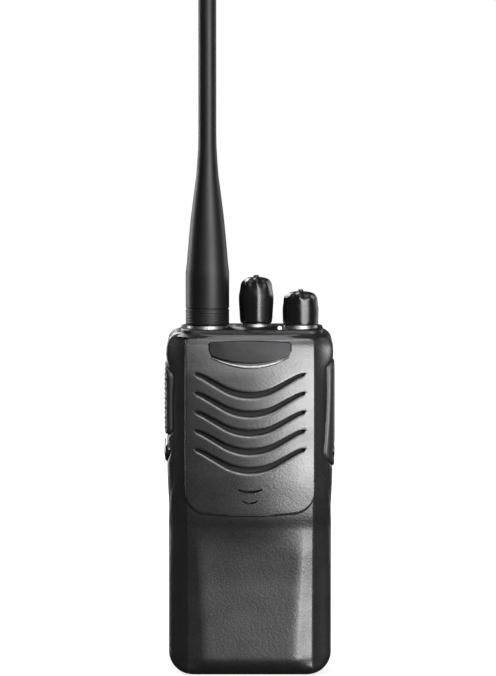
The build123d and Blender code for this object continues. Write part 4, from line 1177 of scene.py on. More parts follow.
def knob(name, x, low, high, foot, widest, shoulder, flats=9, turn=0.0):
    """A ridged barrel between two heights, with its radius at the foot, the waist and the shoulder."""
    height = high - low
    body_top = height - nub_height
    crown_start = body_top - crown_depth
    outline = [(0, foot - 0.25), (0.12, foot), (0.3 * crown_start, foot + 0.55 * (widest - foot)),
               (0.75 * crown_start, widest), (crown_start, 0.45 * widest + 0.55 * shoulder),
               (body_top - 2.0, shoulder), (body_top - 1.1, shoulder - 0.42), (body_top - 0.55, shoulder - 0.95),
               (body_top - 0.2, shoulder - 1.55), (body_top, shoulder - 2.15)]
    levels = [crown_start * i / 30 for i in range(31)]
    levels += [body_top - crown_depth * (1 - i / 24) ** 2 for i in range(1, 25)]
    rows = [(level, through(outline, level)) for level in levels]
    edge = rows[-1][1]
    rows += [(body_top + 0.32 * (1 - (r / edge) ** 2), r) for r in (0.88 * edge, 2.0, 1.6, 1.25, 1.0)]
    segments = 180
    turns = [2 * math.pi * k / segments for k in range(segments)]
    points, faces = [], []
    for level, r in rows:
        ridge = smoothstep(0.02, 0.12, level / body_top)
        crown = smoothstep(0.70, 0.92, level / body_top)
        fade = smoothstep(1.2, 2.6, r)
        for angle in turns:
            wave = math.cos(flats * angle + turn)
            sharp = 1 - abs(math.sin((flats * angle + turn) / 2)) ** 0.9
            scallop = (0.05 + 0.05 * crown) * wave + 0.22 * crown * (sharp - 0.5)
            radius = r + ridge * fade * scallop
            points.append((x + radius * math.cos(angle), control_y + radius * math.sin(angle), low + level))
    nub = [(0.92, body_top + 0.3), (0.88, height - 0.18), (0.74, height - 0.04), (0.5, height)]
    for r, z in nub:
        points += [(x + r * math.cos(t), control_y + r * math.sin(t), low + z) for t in turns]
    total = len(rows) + len(nub)
    for row in range(total - 1):
        a, b = row * segments, (row + 1) * segments
        faces += [(a + k, a + (k + 1) % segments, b + (k + 1) % segments, b + k) for k in range(segments)]
    faces.append(tuple(reversed(range(segments))))
    faces.append(tuple(range((total - 1) * segments, total * segments)))
    obj = outward(new_object(name, points, faces, 40))
    cut(obj, bar_tool("Z", 3.0, low - 1, low + 2.5, x, control_y))
    finish_mesh(obj.data, 40)
    return obj


volume_knob = knob("volume_knob_cap", volume_x, volume_foot, volume_high.z - 0.5, 4.9, 5.4, 4.74, 9, 0.9)
channel_knob = knob("channel_knob_cap", channel_x, channel_foot, channel_high.z - 0.5, 5.45, 5.6, 5.2, 9, 2.3)
print("knobs", len(volume_knob.data.polygons), "and", len(channel_knob.data.polygons), "faces")

# %% [markdown]
# ## Side keys, jack cover and label
# These plates follow the flank. The talk key has rows of small raised dots for grip, laid out by
# Geometry Nodes: a grid of points, kept where they fall well inside the key's outline.

# %% Side pieces
ptt = flank_plate("talk_key", band(ptt_circles), -1, 0.55, 2.4, 0.55, 0.15)
side_key = flank_plate("small_key", band(key_circles, 0.0, 96), -1, 0.55, 2.4, 0.6, 0.35)
cover = flank_plate("jack_cover_shell", band(cover_circles), 1, 0.5, 1.25, 0.5, 0.1)
screw_face = grip_half_width + 0.15
cut(cover, bar_tool("X", 3.1, screw_face - 0.95, 40, screw_y, screw_z, 64))
cut(cover, bar_tool("X", 1.6, 20, 40, screw_y, screw_z))
finish_mesh(cover.data)
label = flank_plate("flank_label", even([(a * 0.965, b) for a, b in label_outline], 160), 1, -0.07, 0.24, 0.0)
print("key, cover and label follow the flank")

# %% [markdown]
# The cover's screw is a pan head with a cross recess. Its threaded core runs on into the case.

# %% Cover screw
screw_profile = [(0, 6.1), (1.2, 6.1), (1.5, 5.7), (1.5, 0.95), (2.7, 0.9), (2.7, 0.42), (2.55, 0.2), (2.2, 0.06),
                 (1.2, 0.0), (0, 0.0)]
cover_screw = lathe("cover_screw_head", [(r, screw_face - depth) for r, depth in screw_profile], screw_y, screw_z,
                    64, 35.0, "X")
for half_y, half_z in ((1.75, 0.34), (0.34, 1.75)):
    cut(cover_screw, box_tool(screw_face - 0.6, screw_face + 1, screw_y - half_y, screw_y + half_y,
                              screw_z - half_z, screw_z + half_z))
cut(cover_screw, bar_tool("X", 0.7, screw_face - 0.75, screw_face + 1, screw_y, screw_z, 24))
finish_mesh(cover_screw.data)
print("screw head", len(cover_screw.data.polygons), "faces")

# %% [markdown]
# ## The battery latch
# A thumb slider with grip ribs sits in the raised pad. The plate is a rounded stack, and the ribs
# are one bar repeated by Geometry Nodes.

# %% Latch
latch_body_low = latch_top - latch_height
latch_levels = [(0, -1.0), (0, 0.9), (0.12, 1.2), (0.35, 1.4), (0.7, 1.5)]
points, faces = [], []
for inset, out in latch_levels:
    outline = rounded_outline(-7.0, 7.0, latch_body_low, latch_top, 1.8, inset)
    points += [(x, rear_face + out, z) for x, z in outline]
n = len(outline)
for a in range(0, len(points) - n, n):
    faces += [(a + i, a + (i + 1) % n, a + n + (i + 1) % n, a + n + i) for i in range(n)]
faces += [tuple(range(n)), tuple(range(len(points) - 1, len(points) - n - 1, -1))]
latch = closed_object("latch_slider", points, faces)
cut(latch, box_tool(-8.2, 8.2, rear_face - 1.05, rear_face - 0.35, latch_body_low, latch_top), "UNION")
finish_mesh(latch.data)
print("latch", len(latch.data.polygons), "faces")

# %% [markdown]
# ## Trees with named sizes
# A Geometry Nodes tree takes its sizes as named inputs. One helper makes the tree with its sockets, and
# another runs it on a base mesh and keeps the result as a plain mesh, so no modifier is left behind.

# %% Tree helpers
def group_input(tree, label, kind, value):
    """A named input of a tree, with its starting value where it has one."""
    socket = tree.interface.new_socket(name=label, in_out="INPUT", socket_type=kind)
    if kind != "NodeSocketMaterial" and kind != "NodeSocketGeometry":
        socket.default_value = value
    return socket


def new_tree(label, sizes):
    """A geometry tree with a mesh in and out, and one named number input for each size."""
    tree = bpy.data.node_groups.new(label, "GeometryNodeTree")
    group_input(tree, "Geometry", "NodeSocketGeometry", None)
    for size_label, value in sizes.items():
        group_input(tree, size_label, "NodeSocketInt" if isinstance(value, int) else "NodeSocketFloat", value)
    group_input(tree, "Material", "NodeSocketMaterial", None)
    tree.interface.new_socket(name="Geometry", in_out="OUTPUT", socket_type="NodeSocketGeometry")
    return tree, add_node(tree, "NodeGroupInput"), add_node(tree, "NodeGroupOutput")


def grow(name, base, tree, values, material):
    """Runs a tree on a base mesh, and returns the result as a plain mesh object."""
    modifier = base.modifiers.new("grow", "NODES")
    modifier.node_group = tree
    for item in tree.interface.items_tree:
        if item.in_out == "INPUT" and item.name in values:
            modifier[item.identifier] = values[item.name]
        if item.in_out == "INPUT" and item.name == "Material":
            modifier[item.identifier] = material
    bpy.context.view_layer.update()
    seen = base.evaluated_get(bpy.context.evaluated_depsgraph_get())
    mesh = bpy.data.meshes.new_from_object(seen)
    base.modifiers.remove(modifier)
    obj = bpy.data.objects.new(name, mesh)
    bpy.context.scene.collection.objects.link(obj)
    finish_mesh(mesh, 60)
    return obj


print("tree helpers ready")

# %% [markdown]
# ## Moulded plastics
# The radio's shell is polycarbonate blended with ABS, moulded in a spark-eroded tool. That leaves a fine
# even grain, which scatters light into a soft satin. One function builds every moulded part: a grain
# bump, a slower cloud that varies the gloss, and a painted highlight from Pointiness that lightens the
# sharpest edges a little, in patches. Gloss, grain and colour are all that differ.
# The real grain is about 0.1 mm, too fine to show at this size, so it is drawn coarser, at 0.5 mm.

# %% Plastics
def moulded(name, base, lighter, roughness, grain_mm, grain_depth, cloud_mm=9.0, painted_edge_light=0.35, coat=0.0, ior=1.5,
            specular=0.5, gloss_swing=0.06, speckle=0.25):
    """A grained plastic: base and lighter are sRGB colours, and sizes are in millimetres."""
    material = bpy.data.materials.new(name)
    material.use_nodes = True
    tree = material.node_tree
    tree.nodes.clear()
    place = add_node(tree, "ShaderNodeTexCoord").outputs["Object"]
    grain = add_node(tree, "ShaderNodeTexNoise", {"Vector": place, "Scale": 1 / (grain_mm * MM), "Detail": 3.0,
                                                 "Roughness": 0.6})
    pits = add_node(tree, "ShaderNodeTexVoronoi", {"Vector": place, "Scale": 0.7 / (grain_mm * MM)},
                    feature="SMOOTH_F1")
    relief = add_node(tree, "ShaderNodeMath", {0: grain.outputs["Fac"], 1: pits.outputs["Distance"]},
                      operation="ADD")
    bump = add_node(tree, "ShaderNodeBump", {"Strength": 1.0, "Distance": grain_depth * MM,
                                             "Height": relief.outputs["Value"]})
    cloud = add_node(tree, "ShaderNodeTexNoise", {"Vector": place, "Scale": 1 / (cloud_mm * MM), "Detail": 4.0})
    gloss = add_node(tree, "ShaderNodeMapRange", {"Value": cloud.outputs["Fac"], "From Min": 0.3, "From Max": 0.7,
                                                  "To Min": roughness - gloss_swing / 2,
                                                  "To Max": roughness + gloss_swing / 2})
    # Painted highlight: the sharpest convex edges, found by Pointiness, get a lighter base colour, broken into patches
    # by the cloud.
    bend_here = add_node(tree, "ShaderNodeNewGeometry").outputs["Pointiness"]
    edge = add_node(tree, "ShaderNodeMapRange", {"Value": bend_here, "From Min": 0.52, "From Max": 0.62,
                                                 "To Min": 0.0, "To Max": painted_edge_light})
    painted_edge_patches = add_node(tree, "ShaderNodeMath", {0: edge.outputs["Result"], 1: cloud.outputs["Fac"]}, operation="MULTIPLY")
    speck = add_node(tree, "ShaderNodeMapRange", {"Value": grain.outputs["Fac"], "From Min": 0.35, "From Max": 0.65,
                                                  "To Min": 0.0, "To Max": speckle})
    shade = add_node(tree, "ShaderNodeMath", {0: painted_edge_patches.outputs["Value"], 1: speck.outputs["Result"]}, operation="ADD",
                     use_clamp=True)
    colour = add_node(tree, "ShaderNodeMix", {"Factor": shade.outputs["Value"], 6: srgb(base), 7: srgb(lighter)},
                      data_type="RGBA")
    shader = add_node(tree, "ShaderNodeBsdfPrincipled", {
        "Base Color": colour.outputs[2], "Roughness": gloss.outputs["Result"], "Normal": bump.outputs["Normal"],
        "IOR": ior, "Coat Weight": coat, "Coat Roughness": 0.12, "Specular IOR Level": specular})
    add_node(tree, "ShaderNodeOutputMaterial", {"Surface": shader.outputs["BSDF"]})
    material.diffuse_color = srgb(base)
    return material


# The case: near-black with a fine pale grain and a soft, wide sheen on every bend.
case_plastic = moulded("moulded_polycarbonate_abs", "#0c0c0d", "#2a2a2c", 0.39, 0.5, 0.02,
                       specular=0.75, speckle=0.4)
# The speaker panel: the same grain, a shade lighter and brighter in the specks.
panel_plastic = moulded("moulded_polycarbonate_abs_fine", "#101011", "#303032", 0.37, 0.5, 0.02,
                        specular=0.85, speckle=0.4)
# The battery: a flatter, greyer black with no bright specks.
battery_plastic = moulded("moulded_battery_abs", "#171718", "#2c2c2d", 0.44, 0.5, 0.018)
# The knobs: smooth and dark, so each ridge draws a narrow bright streak.
knob_plastic = moulded("polished_black_abs", "#0b0b0c", "#1a1a1b", 0.29, 1.1, 0.002, 6.0, 0.2, specular=0.36)
# The island: an even dark satin that sets off the bright rings.
island_plastic = moulded("satin_black_polycarbonate", "#0b0b0c", "#19191a", 0.42, 0.42, 0.008, specular=0.3)
# The jack cover: a soft charcoal, a little lighter than the case round it.
cover_plastic = moulded("moulded_tpe_cover", "#19191a", "#303031", 0.42, 0.42, 0.014)
# The seals: dull and rough, with hardly a highlight.
seal_rubber = moulded("moulded_epdm_rubber", "#141415", "#28282a", 0.7, 0.6, 0.04, 5.0, 0.2, ior=1.52, specular=0.35)
# The antenna: deep black with one long, soft highlight down its length.
antenna_rubber = moulded("moulded_tpu_sleeve", "#09090a", "#151516", 0.47, 0.5, 0.006, 14.0, 0.25, specular=0.28)
# The talk key: a smooth satin that shows its raised dots.
key_rubber = moulded("moulded_silicone_key", "#161617", "#2b2b2c", 0.42, 0.5, 0.006)
# The small key: lacquered, with a wet highlight.
gloss_key = moulded("lacquered_silicone_key", "#0e0e0f", "#202022", 0.2, 0.9, 0.002, 4.0, 0.2, 0.4)
# Sockets and chips: rough, with the flecks of glass fibre.
connector_plastic = moulded("glass_filled_nylon", "#1a1a1b", "#3a3a3a", 0.6, 0.8, 0.05)
# The cell wrap: a smooth blue film.
wrap_film = moulded("heat_shrink_pvc_film", "#23497c", "#3d69a6", 0.35, 3.0, 0.02, 8.0, 0.3)
print("plastics ready: case grain 0.5 mm")

# %% [markdown]
# ## Metals
# Three finishes show: a brushed and anodised aluminium badge, bright nickel-plated rings, and plain
# steel, brass and gold inside. Brushing is a noise stretched along one direction, so tiny scratches
# spread the highlight across them. Metals keep the default IOR, since metallic colour sets the mirror.

# %% Metals
def metal(name, base, darker, roughness, stretch, scratch_mm, depth, tarnish_mm=6.0, swing=0.14):
    """A metal with scratches: stretch gives how much longer they are along X, Y and Z."""
    material = bpy.data.materials.new(name)
    material.use_nodes = True
    tree = material.node_tree
    tree.nodes.clear()
    place = add_node(tree, "ShaderNodeTexCoord").outputs["Object"]
    along = add_node(tree, "ShaderNodeMapping", {"Vector": place, "Scale": tuple(1 / s for s in stretch)})
    scratch = add_node(tree, "ShaderNodeTexNoise", {"Vector": along.outputs["Vector"], "Scale": 1 / (scratch_mm * MM),
                                                   "Detail": 4.0, "Roughness": 0.65})
    haze = add_node(tree, "ShaderNodeTexNoise", {"Vector": place, "Scale": 1 / (tarnish_mm * MM), "Detail": 5.0})
    bump = add_node(tree, "ShaderNodeBump", {"Strength": 1.0, "Distance": depth * MM,
                                             "Height": scratch.outputs["Fac"]})
    mixed = add_node(tree, "ShaderNodeMath", {0: scratch.outputs["Fac"], 1: haze.outputs["Fac"]}, operation="MULTIPLY")
    gloss = add_node(tree, "ShaderNodeMapRange", {"Value": scratch.outputs["Fac"], "From Min": 0.3, "From Max": 0.7,
                                                  "To Min": roughness - swing / 2, "To Max": roughness + swing / 2})
    tone = add_node(tree, "ShaderNodeMapRange", {"Value": mixed.outputs["Value"], "From Min": 0.12, "From Max": 0.38,
                                                 "To Min": 0.0, "To Max": 1.0})
    colour = add_node(tree, "ShaderNodeMix", {"Factor": tone.outputs["Result"], 6: srgb(darker), 7: srgb(base)},
                      data_type="RGBA")
    shader = add_node(tree, "ShaderNodeBsdfPrincipled", {
        "Base Color": colour.outputs[2], "Metallic": 1.0, "Roughness": gloss.outputs["Result"],
        "Normal": bump.outputs["Normal"]})
    add_node(tree, "ShaderNodeOutputMaterial", {"Surface": shader.outputs["BSDF"]})
    material.diffuse_color = srgb(base)
    return material


even_all = (1.0, 1.0, 1.0)
# The badge: dark, brushed sideways, so the light spreads along it.
badge_metal = metal("brushed_dark_anodised_aluminium", "#2f2f30", "#232324", 0.42, (9.0, 1.0, 1.0), 0.35, 0.004)
# The trim: one pale brushed line under the badge.
trim_metal = metal("bright_anodised_aluminium", "#858585", "#6f6f6f", 0.38, (10.0, 1.0, 1.0), 0.35, 0.004)
# The rings: plain nickel that gives each a broad bright crescent.
ring_metal = metal("satin_nickel_plate", "#8e8e8d", "#747473", 0.42, even_all, 1.2, 0.002)
# Clean rolled steel with long faint scratches.
steel = metal("rolled_stainless_steel", "#b9bbbd", "#8f9194", 0.3, (8.0, 1.0, 1.0), 0.4, 0.006)
# Blackened steel for screws: dark, with a small sharp highlight.
dark_steel = metal("black_oxide_steel", "#3b3c3e", "#232426", 0.34, even_all, 0.8, 0.01)
# Turned brass: warm, with rings of tool marks.
brass = metal("turned_brass", "#c9a75a", "#9c7d3d", 0.28, (1.0, 1.0, 0.15), 0.5, 0.006)
# Gold flash: warm and nearly a mirror.
gold = metal("gold_flash_plate", "#e2bd62", "#c39b45", 0.22, even_all, 1.0, 0.003)
# The cast chassis: pale, rough and grainy.
cast_alloy = metal("die_cast_magnesium", "#a3a5a8", "#7c7e82", 0.5, even_all, 0.6, 0.05)
print("metals ready: brushing runs along X on the badge")

# %% [markdown]
# ## Special finishes
# The grille cloth, the label film, the clear lamp, the circuit board and the floor each need something
# of their own. The cloth is a plain weave: two sets of stripes crossed, one over the other. Its real
# threads, about 0.2 mm apart, are too fine to show, so they are drawn coarser, at 0.45 mm. The lamp is
# clear epoxy over a bright chip, so it reads as a small white point.

# %% Cloth, film, lamp and board
def plain(name, **values):
    """A new material with its tree, coordinates and Principled shader."""
    material = bpy.data.materials.new(name)
    material.use_nodes = True
    tree = material.node_tree
    tree.nodes.clear()
    place = add_node(tree, "ShaderNodeTexCoord").outputs["Object"]
    settings = {key.replace("_", " "): value for key, value in values.items()}
    shader = add_node(tree, "ShaderNodeBsdfPrincipled", settings)
    add_node(tree, "ShaderNodeOutputMaterial", {"Surface": shader.outputs["BSDF"]})
    return material, tree, place, shader


thread_mm = 0.45
# The grille cloth: a matt dark weave with a faint fuzz of light.
grille_cloth, tree, place, shader = plain("woven_polyester_mesh", Roughness=0.85, IOR=1.5, Sheen_Weight=0.25)
warp = add_node(tree, "ShaderNodeTexWave", {"Vector": place, "Scale": 0.314 / (thread_mm * MM)}, bands_direction="X")
weft = add_node(tree, "ShaderNodeTexWave", {"Vector": place, "Scale": 0.314 / (thread_mm * MM)}, bands_direction="Z")
weave = add_node(tree, "ShaderNodeMath", {0: warp.outputs["Fac"], 1: weft.outputs["Fac"]}, operation="MULTIPLY")
colour = add_node(tree, "ShaderNodeMix", {"Factor": weave.outputs["Value"], 6: srgb("#060606"), 7: srgb("#26272a")},
                  data_type="RGBA")
bump = add_node(tree, "ShaderNodeBump", {"Strength": 1.0, "Distance": 0.06 * MM, "Height": weave.outputs["Value"]})
tree.links.new(colour.outputs[2], shader.inputs["Base Color"])
tree.links.new(bump.outputs["Normal"], shader.inputs["Normal"])

# The label: a clean dark film with a hazy sheen.
label_film, tree, place, shader = plain("satin_polyester_film", IOR=1.58, Coat_Weight=0.2, Coat_Roughness=0.2)
haze = add_node(tree, "ShaderNodeTexNoise", {"Vector": place, "Scale": 1 / (1.1 * MM), "Detail": 5.0})
gloss = add_node(tree, "ShaderNodeMapRange", {"Value": haze.outputs["Fac"], "To Min": 0.24, "To Max": 0.42})
colour = add_node(tree, "ShaderNodeMix", {"Factor": haze.outputs["Fac"], 6: srgb("#151618"), 7: srgb("#222326")},
                  data_type="RGBA")
bump = add_node(tree, "ShaderNodeBump", {"Strength": 1.0, "Distance": 0.004 * MM, "Height": haze.outputs["Fac"]})
tree.links.new(colour.outputs[2], shader.inputs["Base Color"])
tree.links.new(gloss.outputs["Result"], shader.inputs["Roughness"])
tree.links.new(bump.outputs["Normal"], shader.inputs["Normal"])

# The lamp: a tiny clear bead, bright and glassy.
lamp_epoxy, tree, place, shader = plain("clear_cast_epoxy", Roughness=0.08, IOR=1.55, Coat_Weight=0.6,
                                        Coat_Roughness=0.04, Emission_Strength=0.35)
flow = add_node(tree, "ShaderNodeTexNoise", {"Vector": place, "Scale": 1 / (0.6 * MM), "Detail": 2.0})
colour = add_node(tree, "ShaderNodeMix", {"Factor": flow.outputs["Fac"], 6: srgb("#cfd3d6"), 7: srgb("#f4f6f8")},
                  data_type="RGBA")
tree.links.new(colour.outputs[2], shader.inputs["Base Color"])
tree.links.new(colour.outputs[2], shader.inputs["Emission Color"])

# The circuit board: green lacquer over raised copper tracks.
board_laminate, tree, place, shader = plain("solder_masked_glass_epoxy", Roughness=0.35, IOR=1.55, Coat_Weight=0.3)
cells = add_node(tree, "ShaderNodeTexVoronoi", {"Vector": place, "Scale": 1 / (1.6 * MM)}, feature="DISTANCE_TO_EDGE",
                 distance="EUCLIDEAN")
tracks = add_node(tree, "ShaderNodeMapRange", {"Value": cells.outputs["Distance"], "From Min": 0.05, "From Max": 0.12,
                                               "To Min": 1.0, "To Max": 0.0})
colour = add_node(tree, "ShaderNodeMix", {"Factor": tracks.outputs["Result"], 6: srgb("#0f4a2c"), 7: srgb("#1d6b42")},
                  data_type="RGBA")
bump = add_node(tree, "ShaderNodeBump", {"Strength": 1.0, "Distance": 0.03 * MM, "Height": tracks.outputs["Result"]})
tree.links.new(colour.outputs[2], shader.inputs["Base Color"])
tree.links.new(bump.outputs["Normal"], shader.inputs["Normal"])

# The speaker cone: matt black paper with visible fibres.
paper_pulp, tree, place, shader = plain("pressed_paper_cone", Roughness=0.9, IOR=1.45)
fibre = add_node(tree, "ShaderNodeTexNoise", {"Vector": place, "Scale": 1 / (0.4 * MM), "Detail": 6.0,
                                             "Distortion": 1.5})
colour = add_node(tree, "ShaderNodeMix", {"Factor": fibre.outputs["Fac"], 6: srgb("#121214"), 7: srgb("#303033")},
                  data_type="RGBA")
bump = add_node(tree, "ShaderNodeBump", {"Strength": 1.0, "Distance": 0.05 * MM, "Height": fibre.outputs["Fac"]})
tree.links.new(colour.outputs[2], shader.inputs["Base Color"])
tree.links.new(bump.outputs["Normal"], shader.inputs["Normal"])
print("special finishes ready")

# %% [markdown]
# ## Grip dots on the talk key
# A talk key has rows of tiny raised dots, so a thumb finds it in the dark. One low dome is repeated on
# a staggered grid. A Raycast drops the grid onto the key, and only the points that land on the inner
# patch stay, so the dots follow the key's curve and stop short of its edge.

# %% Dot tree
dots_tree, feed, out = new_tree("grip_dots", {"Pitch": 1.5 * MM, "Dot Radius": 0.36 * MM, "Dot Height": 0.16 * MM,
                                              "Columns": 9, "Rows": 19, "Middle Y": 0.0, "Middle Z": 0.0})
columns_less = add_node(dots_tree, "ShaderNodeMath", {0: feed.outputs["Columns"], 1: 1.0}, operation="SUBTRACT")
rows_less = add_node(dots_tree, "ShaderNodeMath", {0: feed.outputs["Rows"], 1: 1.0}, operation="SUBTRACT")
size_x = add_node(dots_tree, "ShaderNodeMath", {0: columns_less.outputs[0], 1: feed.outputs["Pitch"]},
                  operation="MULTIPLY")
size_y = add_node(dots_tree, "ShaderNodeMath", {0: rows_less.outputs[0], 1: feed.outputs["Pitch"]},
                  operation="MULTIPLY")
grid = add_node(dots_tree, "GeometryNodeMeshGrid", {
    "Size X": size_x.outputs[0], "Size Y": size_y.outputs[0],
    "Vertices X": feed.outputs["Columns"], "Vertices Y": feed.outputs["Rows"]})
spot = add_node(dots_tree, "GeometryNodeInputPosition").outputs[0]
flat = add_node(dots_tree, "ShaderNodeSeparateXYZ", {0: spot})

# Every second row is moved along by half a pitch.
row = add_node(dots_tree, "ShaderNodeMath", {0: flat.outputs["Y"], 1: feed.outputs["Pitch"]}, operation="DIVIDE")
whole_row = add_node(dots_tree, "ShaderNodeMath", {0: row.outputs[0]}, operation="ROUND")
odd_row = add_node(dots_tree, "ShaderNodeMath", {0: whole_row.outputs[0], 1: 2.0}, operation="FLOORED_MODULO")
half_step = add_node(dots_tree, "ShaderNodeMath", {0: odd_row.outputs[0], 1: 0.5}, operation="MULTIPLY")
stagger = add_node(dots_tree, "ShaderNodeMath", {0: half_step.outputs[0], 1: feed.outputs["Pitch"]},
                   operation="MULTIPLY")
shifted = add_node(dots_tree, "ShaderNodeMath", {0: flat.outputs["X"], 1: stagger.outputs[0]}, operation="ADD")
across = add_node(dots_tree, "ShaderNodeMath", {0: shifted.outputs[0], 1: feed.outputs["Middle Y"]},
                  operation="ADD").outputs[0]
height = add_node(dots_tree, "ShaderNodeMath", {0: flat.outputs["Y"], 1: feed.outputs["Middle Z"]},
                  operation="ADD").outputs[0]
far_spot = add_node(dots_tree, "ShaderNodeCombineXYZ", {"X": -40 * MM, "Y": across, "Z": height}).outputs[0]
spread = add_node(dots_tree, "GeometryNodeSetPosition", {"Geometry": grid.outputs[0], "Position": far_spot})
hit = add_node(dots_tree, "GeometryNodeRaycast", {"Target Geometry": feed.outputs["Geometry"],
                                                  "Source Position": spot, "Ray Direction": (1.0, 0.0, 0.0),
                                                  "Ray Length": 1.0})
points = add_node(dots_tree, "GeometryNodeMeshToPoints", {
    "Mesh": spread.outputs[0], "Position": hit.outputs["Hit Position"], "Selection": hit.outputs["Is Hit"]})
ball = add_node(dots_tree, "GeometryNodeMeshUVSphere", {
    "Segments": 10, "Rings": 6, "Radius": feed.outputs["Dot Radius"]})
squash = add_node(dots_tree, "ShaderNodeMath", {0: feed.outputs["Dot Height"], 1: feed.outputs["Dot Radius"]},
                  operation="DIVIDE").outputs[0]
dome = add_node(dots_tree, "GeometryNodeTransform", {
    "Geometry": ball.outputs[0],
    "Scale": add_node(dots_tree, "ShaderNodeCombineXYZ", {"X": squash, "Y": 1.0, "Z": 1.0}).outputs[0]})
copies = add_node(dots_tree, "GeometryNodeInstanceOnPoints", {
    "Points": points.outputs[0], "Instance": dome.outputs[0]})
real = add_node(dots_tree, "GeometryNodeRealizeInstances", {"Geometry": copies.outputs[0]})
painted = add_node(dots_tree, "GeometryNodeSetMaterial", {
    "Geometry": real.outputs[0], "Material": feed.outputs["Material"]})
dots_tree.links.new(painted.outputs[0], out.inputs[0])
print("dot tree has", len(dots_tree.nodes), "nodes")

# %% Dots
patch = flank_plate("dot_patch", band([(y, z, r - 1.0) for y, z, r in ptt_circles]), -1, 0.6, 0.4, 0.0, 0.1)
middle = np.mean(np.array(band(ptt_circles)), axis=0)
dots = grow("talk_key_dots", patch, dots_tree, {"Pitch": 1.5 * MM, "Dot Radius": 0.36 * MM, "Dot Height": 0.15 * MM,
                                               "Columns": 9, "Rows": 19, "Middle Y": float(middle[0]) * MM,
                                               "Middle Z": float(middle[1]) * MM}, key_rubber)
bpy.data.objects.remove(patch)
print("talk key dots:", len(dots.data.vertices) // 52)

# %% [markdown]
# A rib is one short bar with a rounded crest. The line of ribs is set by its count and pitch, so changing
# either number lays out the grip again.

# %% Ribs
ribs_tree, feed, out = new_tree("grip_ribs", {"Pitch": 1.0 * MM, "Count": 7})
step_up = add_node(ribs_tree, "ShaderNodeCombineXYZ", {"X": 0.0, "Y": 0.0, "Z": feed.outputs["Pitch"]})
line = add_node(ribs_tree, "GeometryNodeMeshLine", {"Count": feed.outputs["Count"], "Offset": step_up.outputs[0]})
copies = add_node(ribs_tree, "GeometryNodeInstanceOnPoints", {"Points": line.outputs[0],
                                                             "Instance": feed.outputs["Geometry"]})
real = add_node(ribs_tree, "GeometryNodeRealizeInstances", {"Geometry": copies.outputs[0]})
painted = add_node(ribs_tree, "GeometryNodeSetMaterial", {
    "Geometry": real.outputs[0], "Material": feed.outputs["Material"]})
ribs_tree.links.new(painted.outputs[0], out.inputs[0])

rib_pitch = 1.15
rib_z = latch_top - latch_height / 2 - 3 * rib_pitch
crest = [(rear_face + 1.35, rib_z - 0.36)] + [
    (rear_face + 1.5 + 0.42 * math.sin(math.radians(a)), rib_z - 0.36 * math.cos(math.radians(a)))
    for a in range(0, 181, 20)] + [(rear_face + 1.35, rib_z + 0.36)]
bar = prism("rib_bar", crest, "X", -5.2, 5.2)
ribs = grow("latch_grip_ribs", bar, ribs_tree, {"Pitch": rib_pitch * MM, "Count": 7}, battery_plastic)
bpy.data.objects.remove(bar)
print("latch ribs:", len(ribs.data.polygons), "faces")

# %% [markdown]
# ## Dressing every piece
# Each new piece gets its finish and rides on the body that moves it, and the CAD nodes it stands for are
# hidden. The nodes that stay visible inside the radio get the same kind of finishes through their own
# material slots.

# %% Pieces
def dress(piece, finish, body_name, slot_name, *replaced):
    """Gives a finished piece its material and its body, and hides the nodes it stands for. slot_name is not used."""
    piece.data.materials.clear()
    piece.data.materials.append(finish)
    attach(piece, body_name)
    if replaced:
        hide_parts(*replaced)


dress(case, case_plastic, "radio", "case_plastic", "front_case")
dress(panel, panel_plastic, "radio", "case_plastic")
dress(island, island_plastic, "radio", "case_plastic")
dress(cloth, grille_cloth, "radio", "cloth", "speaker_mesh")
dress(standoffs, case_plastic, "radio", "case_plastic")
dress(rear_shell, case_plastic, "radio", "case_plastic", "rear_panel")
dress(badge, badge_metal, "radio", "badge_metal", "badge_plate")
dress(chassis_shell, cast_alloy, "radio", "cast_alloy", "chassis")
dress(trim, trim_metal, "radio", "badge_metal", "badge_trim")
dress(label, label_film, "radio", "label_film", "label_plate")
dress(led, lamp_epoxy, "radio", "led_plastic", "led_lens")
dress(collar, ring_metal, "radio", "ring_metal", "antenna_collar")
dress(volume_ring, ring_metal, "radio", "ring_metal", "volume_ring")
dress(channel_ring, ring_metal, "radio", "ring_metal", "channel_ring")
dress(whip, antenna_rubber, "antenna", "antenna_rubber", "antenna_whip")
dress(volume_knob, knob_plastic, "volume", "knob_plastic", "volume_knob")
dress(channel_knob, knob_plastic, "channel", "knob_plastic", "channel_knob")
dress(ptt, key_rubber, "ptt", "button_rubber", "ptt_button")
dress(dots, key_rubber, "ptt", "button_rubber")
dress(side_key, gloss_key, "side_key", "button_rubber", "side_button")
dress(cover, cover_plastic, "cover", "cover_plastic", "jack_cover")
dress(cover_screw, dark_steel, "cover_screw", "screw_steel", "jack_screw")
dress(battery_shell, battery_plastic, "battery", "battery_plastic", "battery_rear_case")
dress(latch, battery_plastic, "latch", "battery_plastic", "battery_latch")
dress(ribs, battery_plastic, "latch", "battery_plastic")

# %% [markdown]
# The nodes left are the insides and the faces behind the battery. They come in with one plain material
# each, named for their slot. The table swaps every one for a real finish.

# %% Nodes that stay
finish_of = {
    "case_plastic": case_plastic, "battery_plastic": battery_plastic, "knob_plastic": knob_plastic,
    "button_rubber": key_rubber, "antenna_rubber": antenna_rubber, "cover_plastic": cover_plastic,
    "badge_metal": badge_metal, "label_film": label_film, "led_plastic": lamp_epoxy, "ring_metal": ring_metal,
    "brass": brass, "cast_alloy": cast_alloy, "steel": steel, "screw_steel": dark_steel,
    "board": board_laminate, "chip": connector_plastic, "cloth": grille_cloth, "paper_cone": paper_pulp,
    "seal_rubber": seal_rubber, "connector": connector_plastic, "contact_gold": gold, "cell_wrap": wrap_film}
for name, node in nodes.items():
    for holder in node.material_slots:
        holder.material = finish_of[holder.material.name.split(".")[0]]
left = sorted(name for name, node in nodes.items() if not node.hide_render)
print(len(left), "nodes still show:", ", ".join(left))

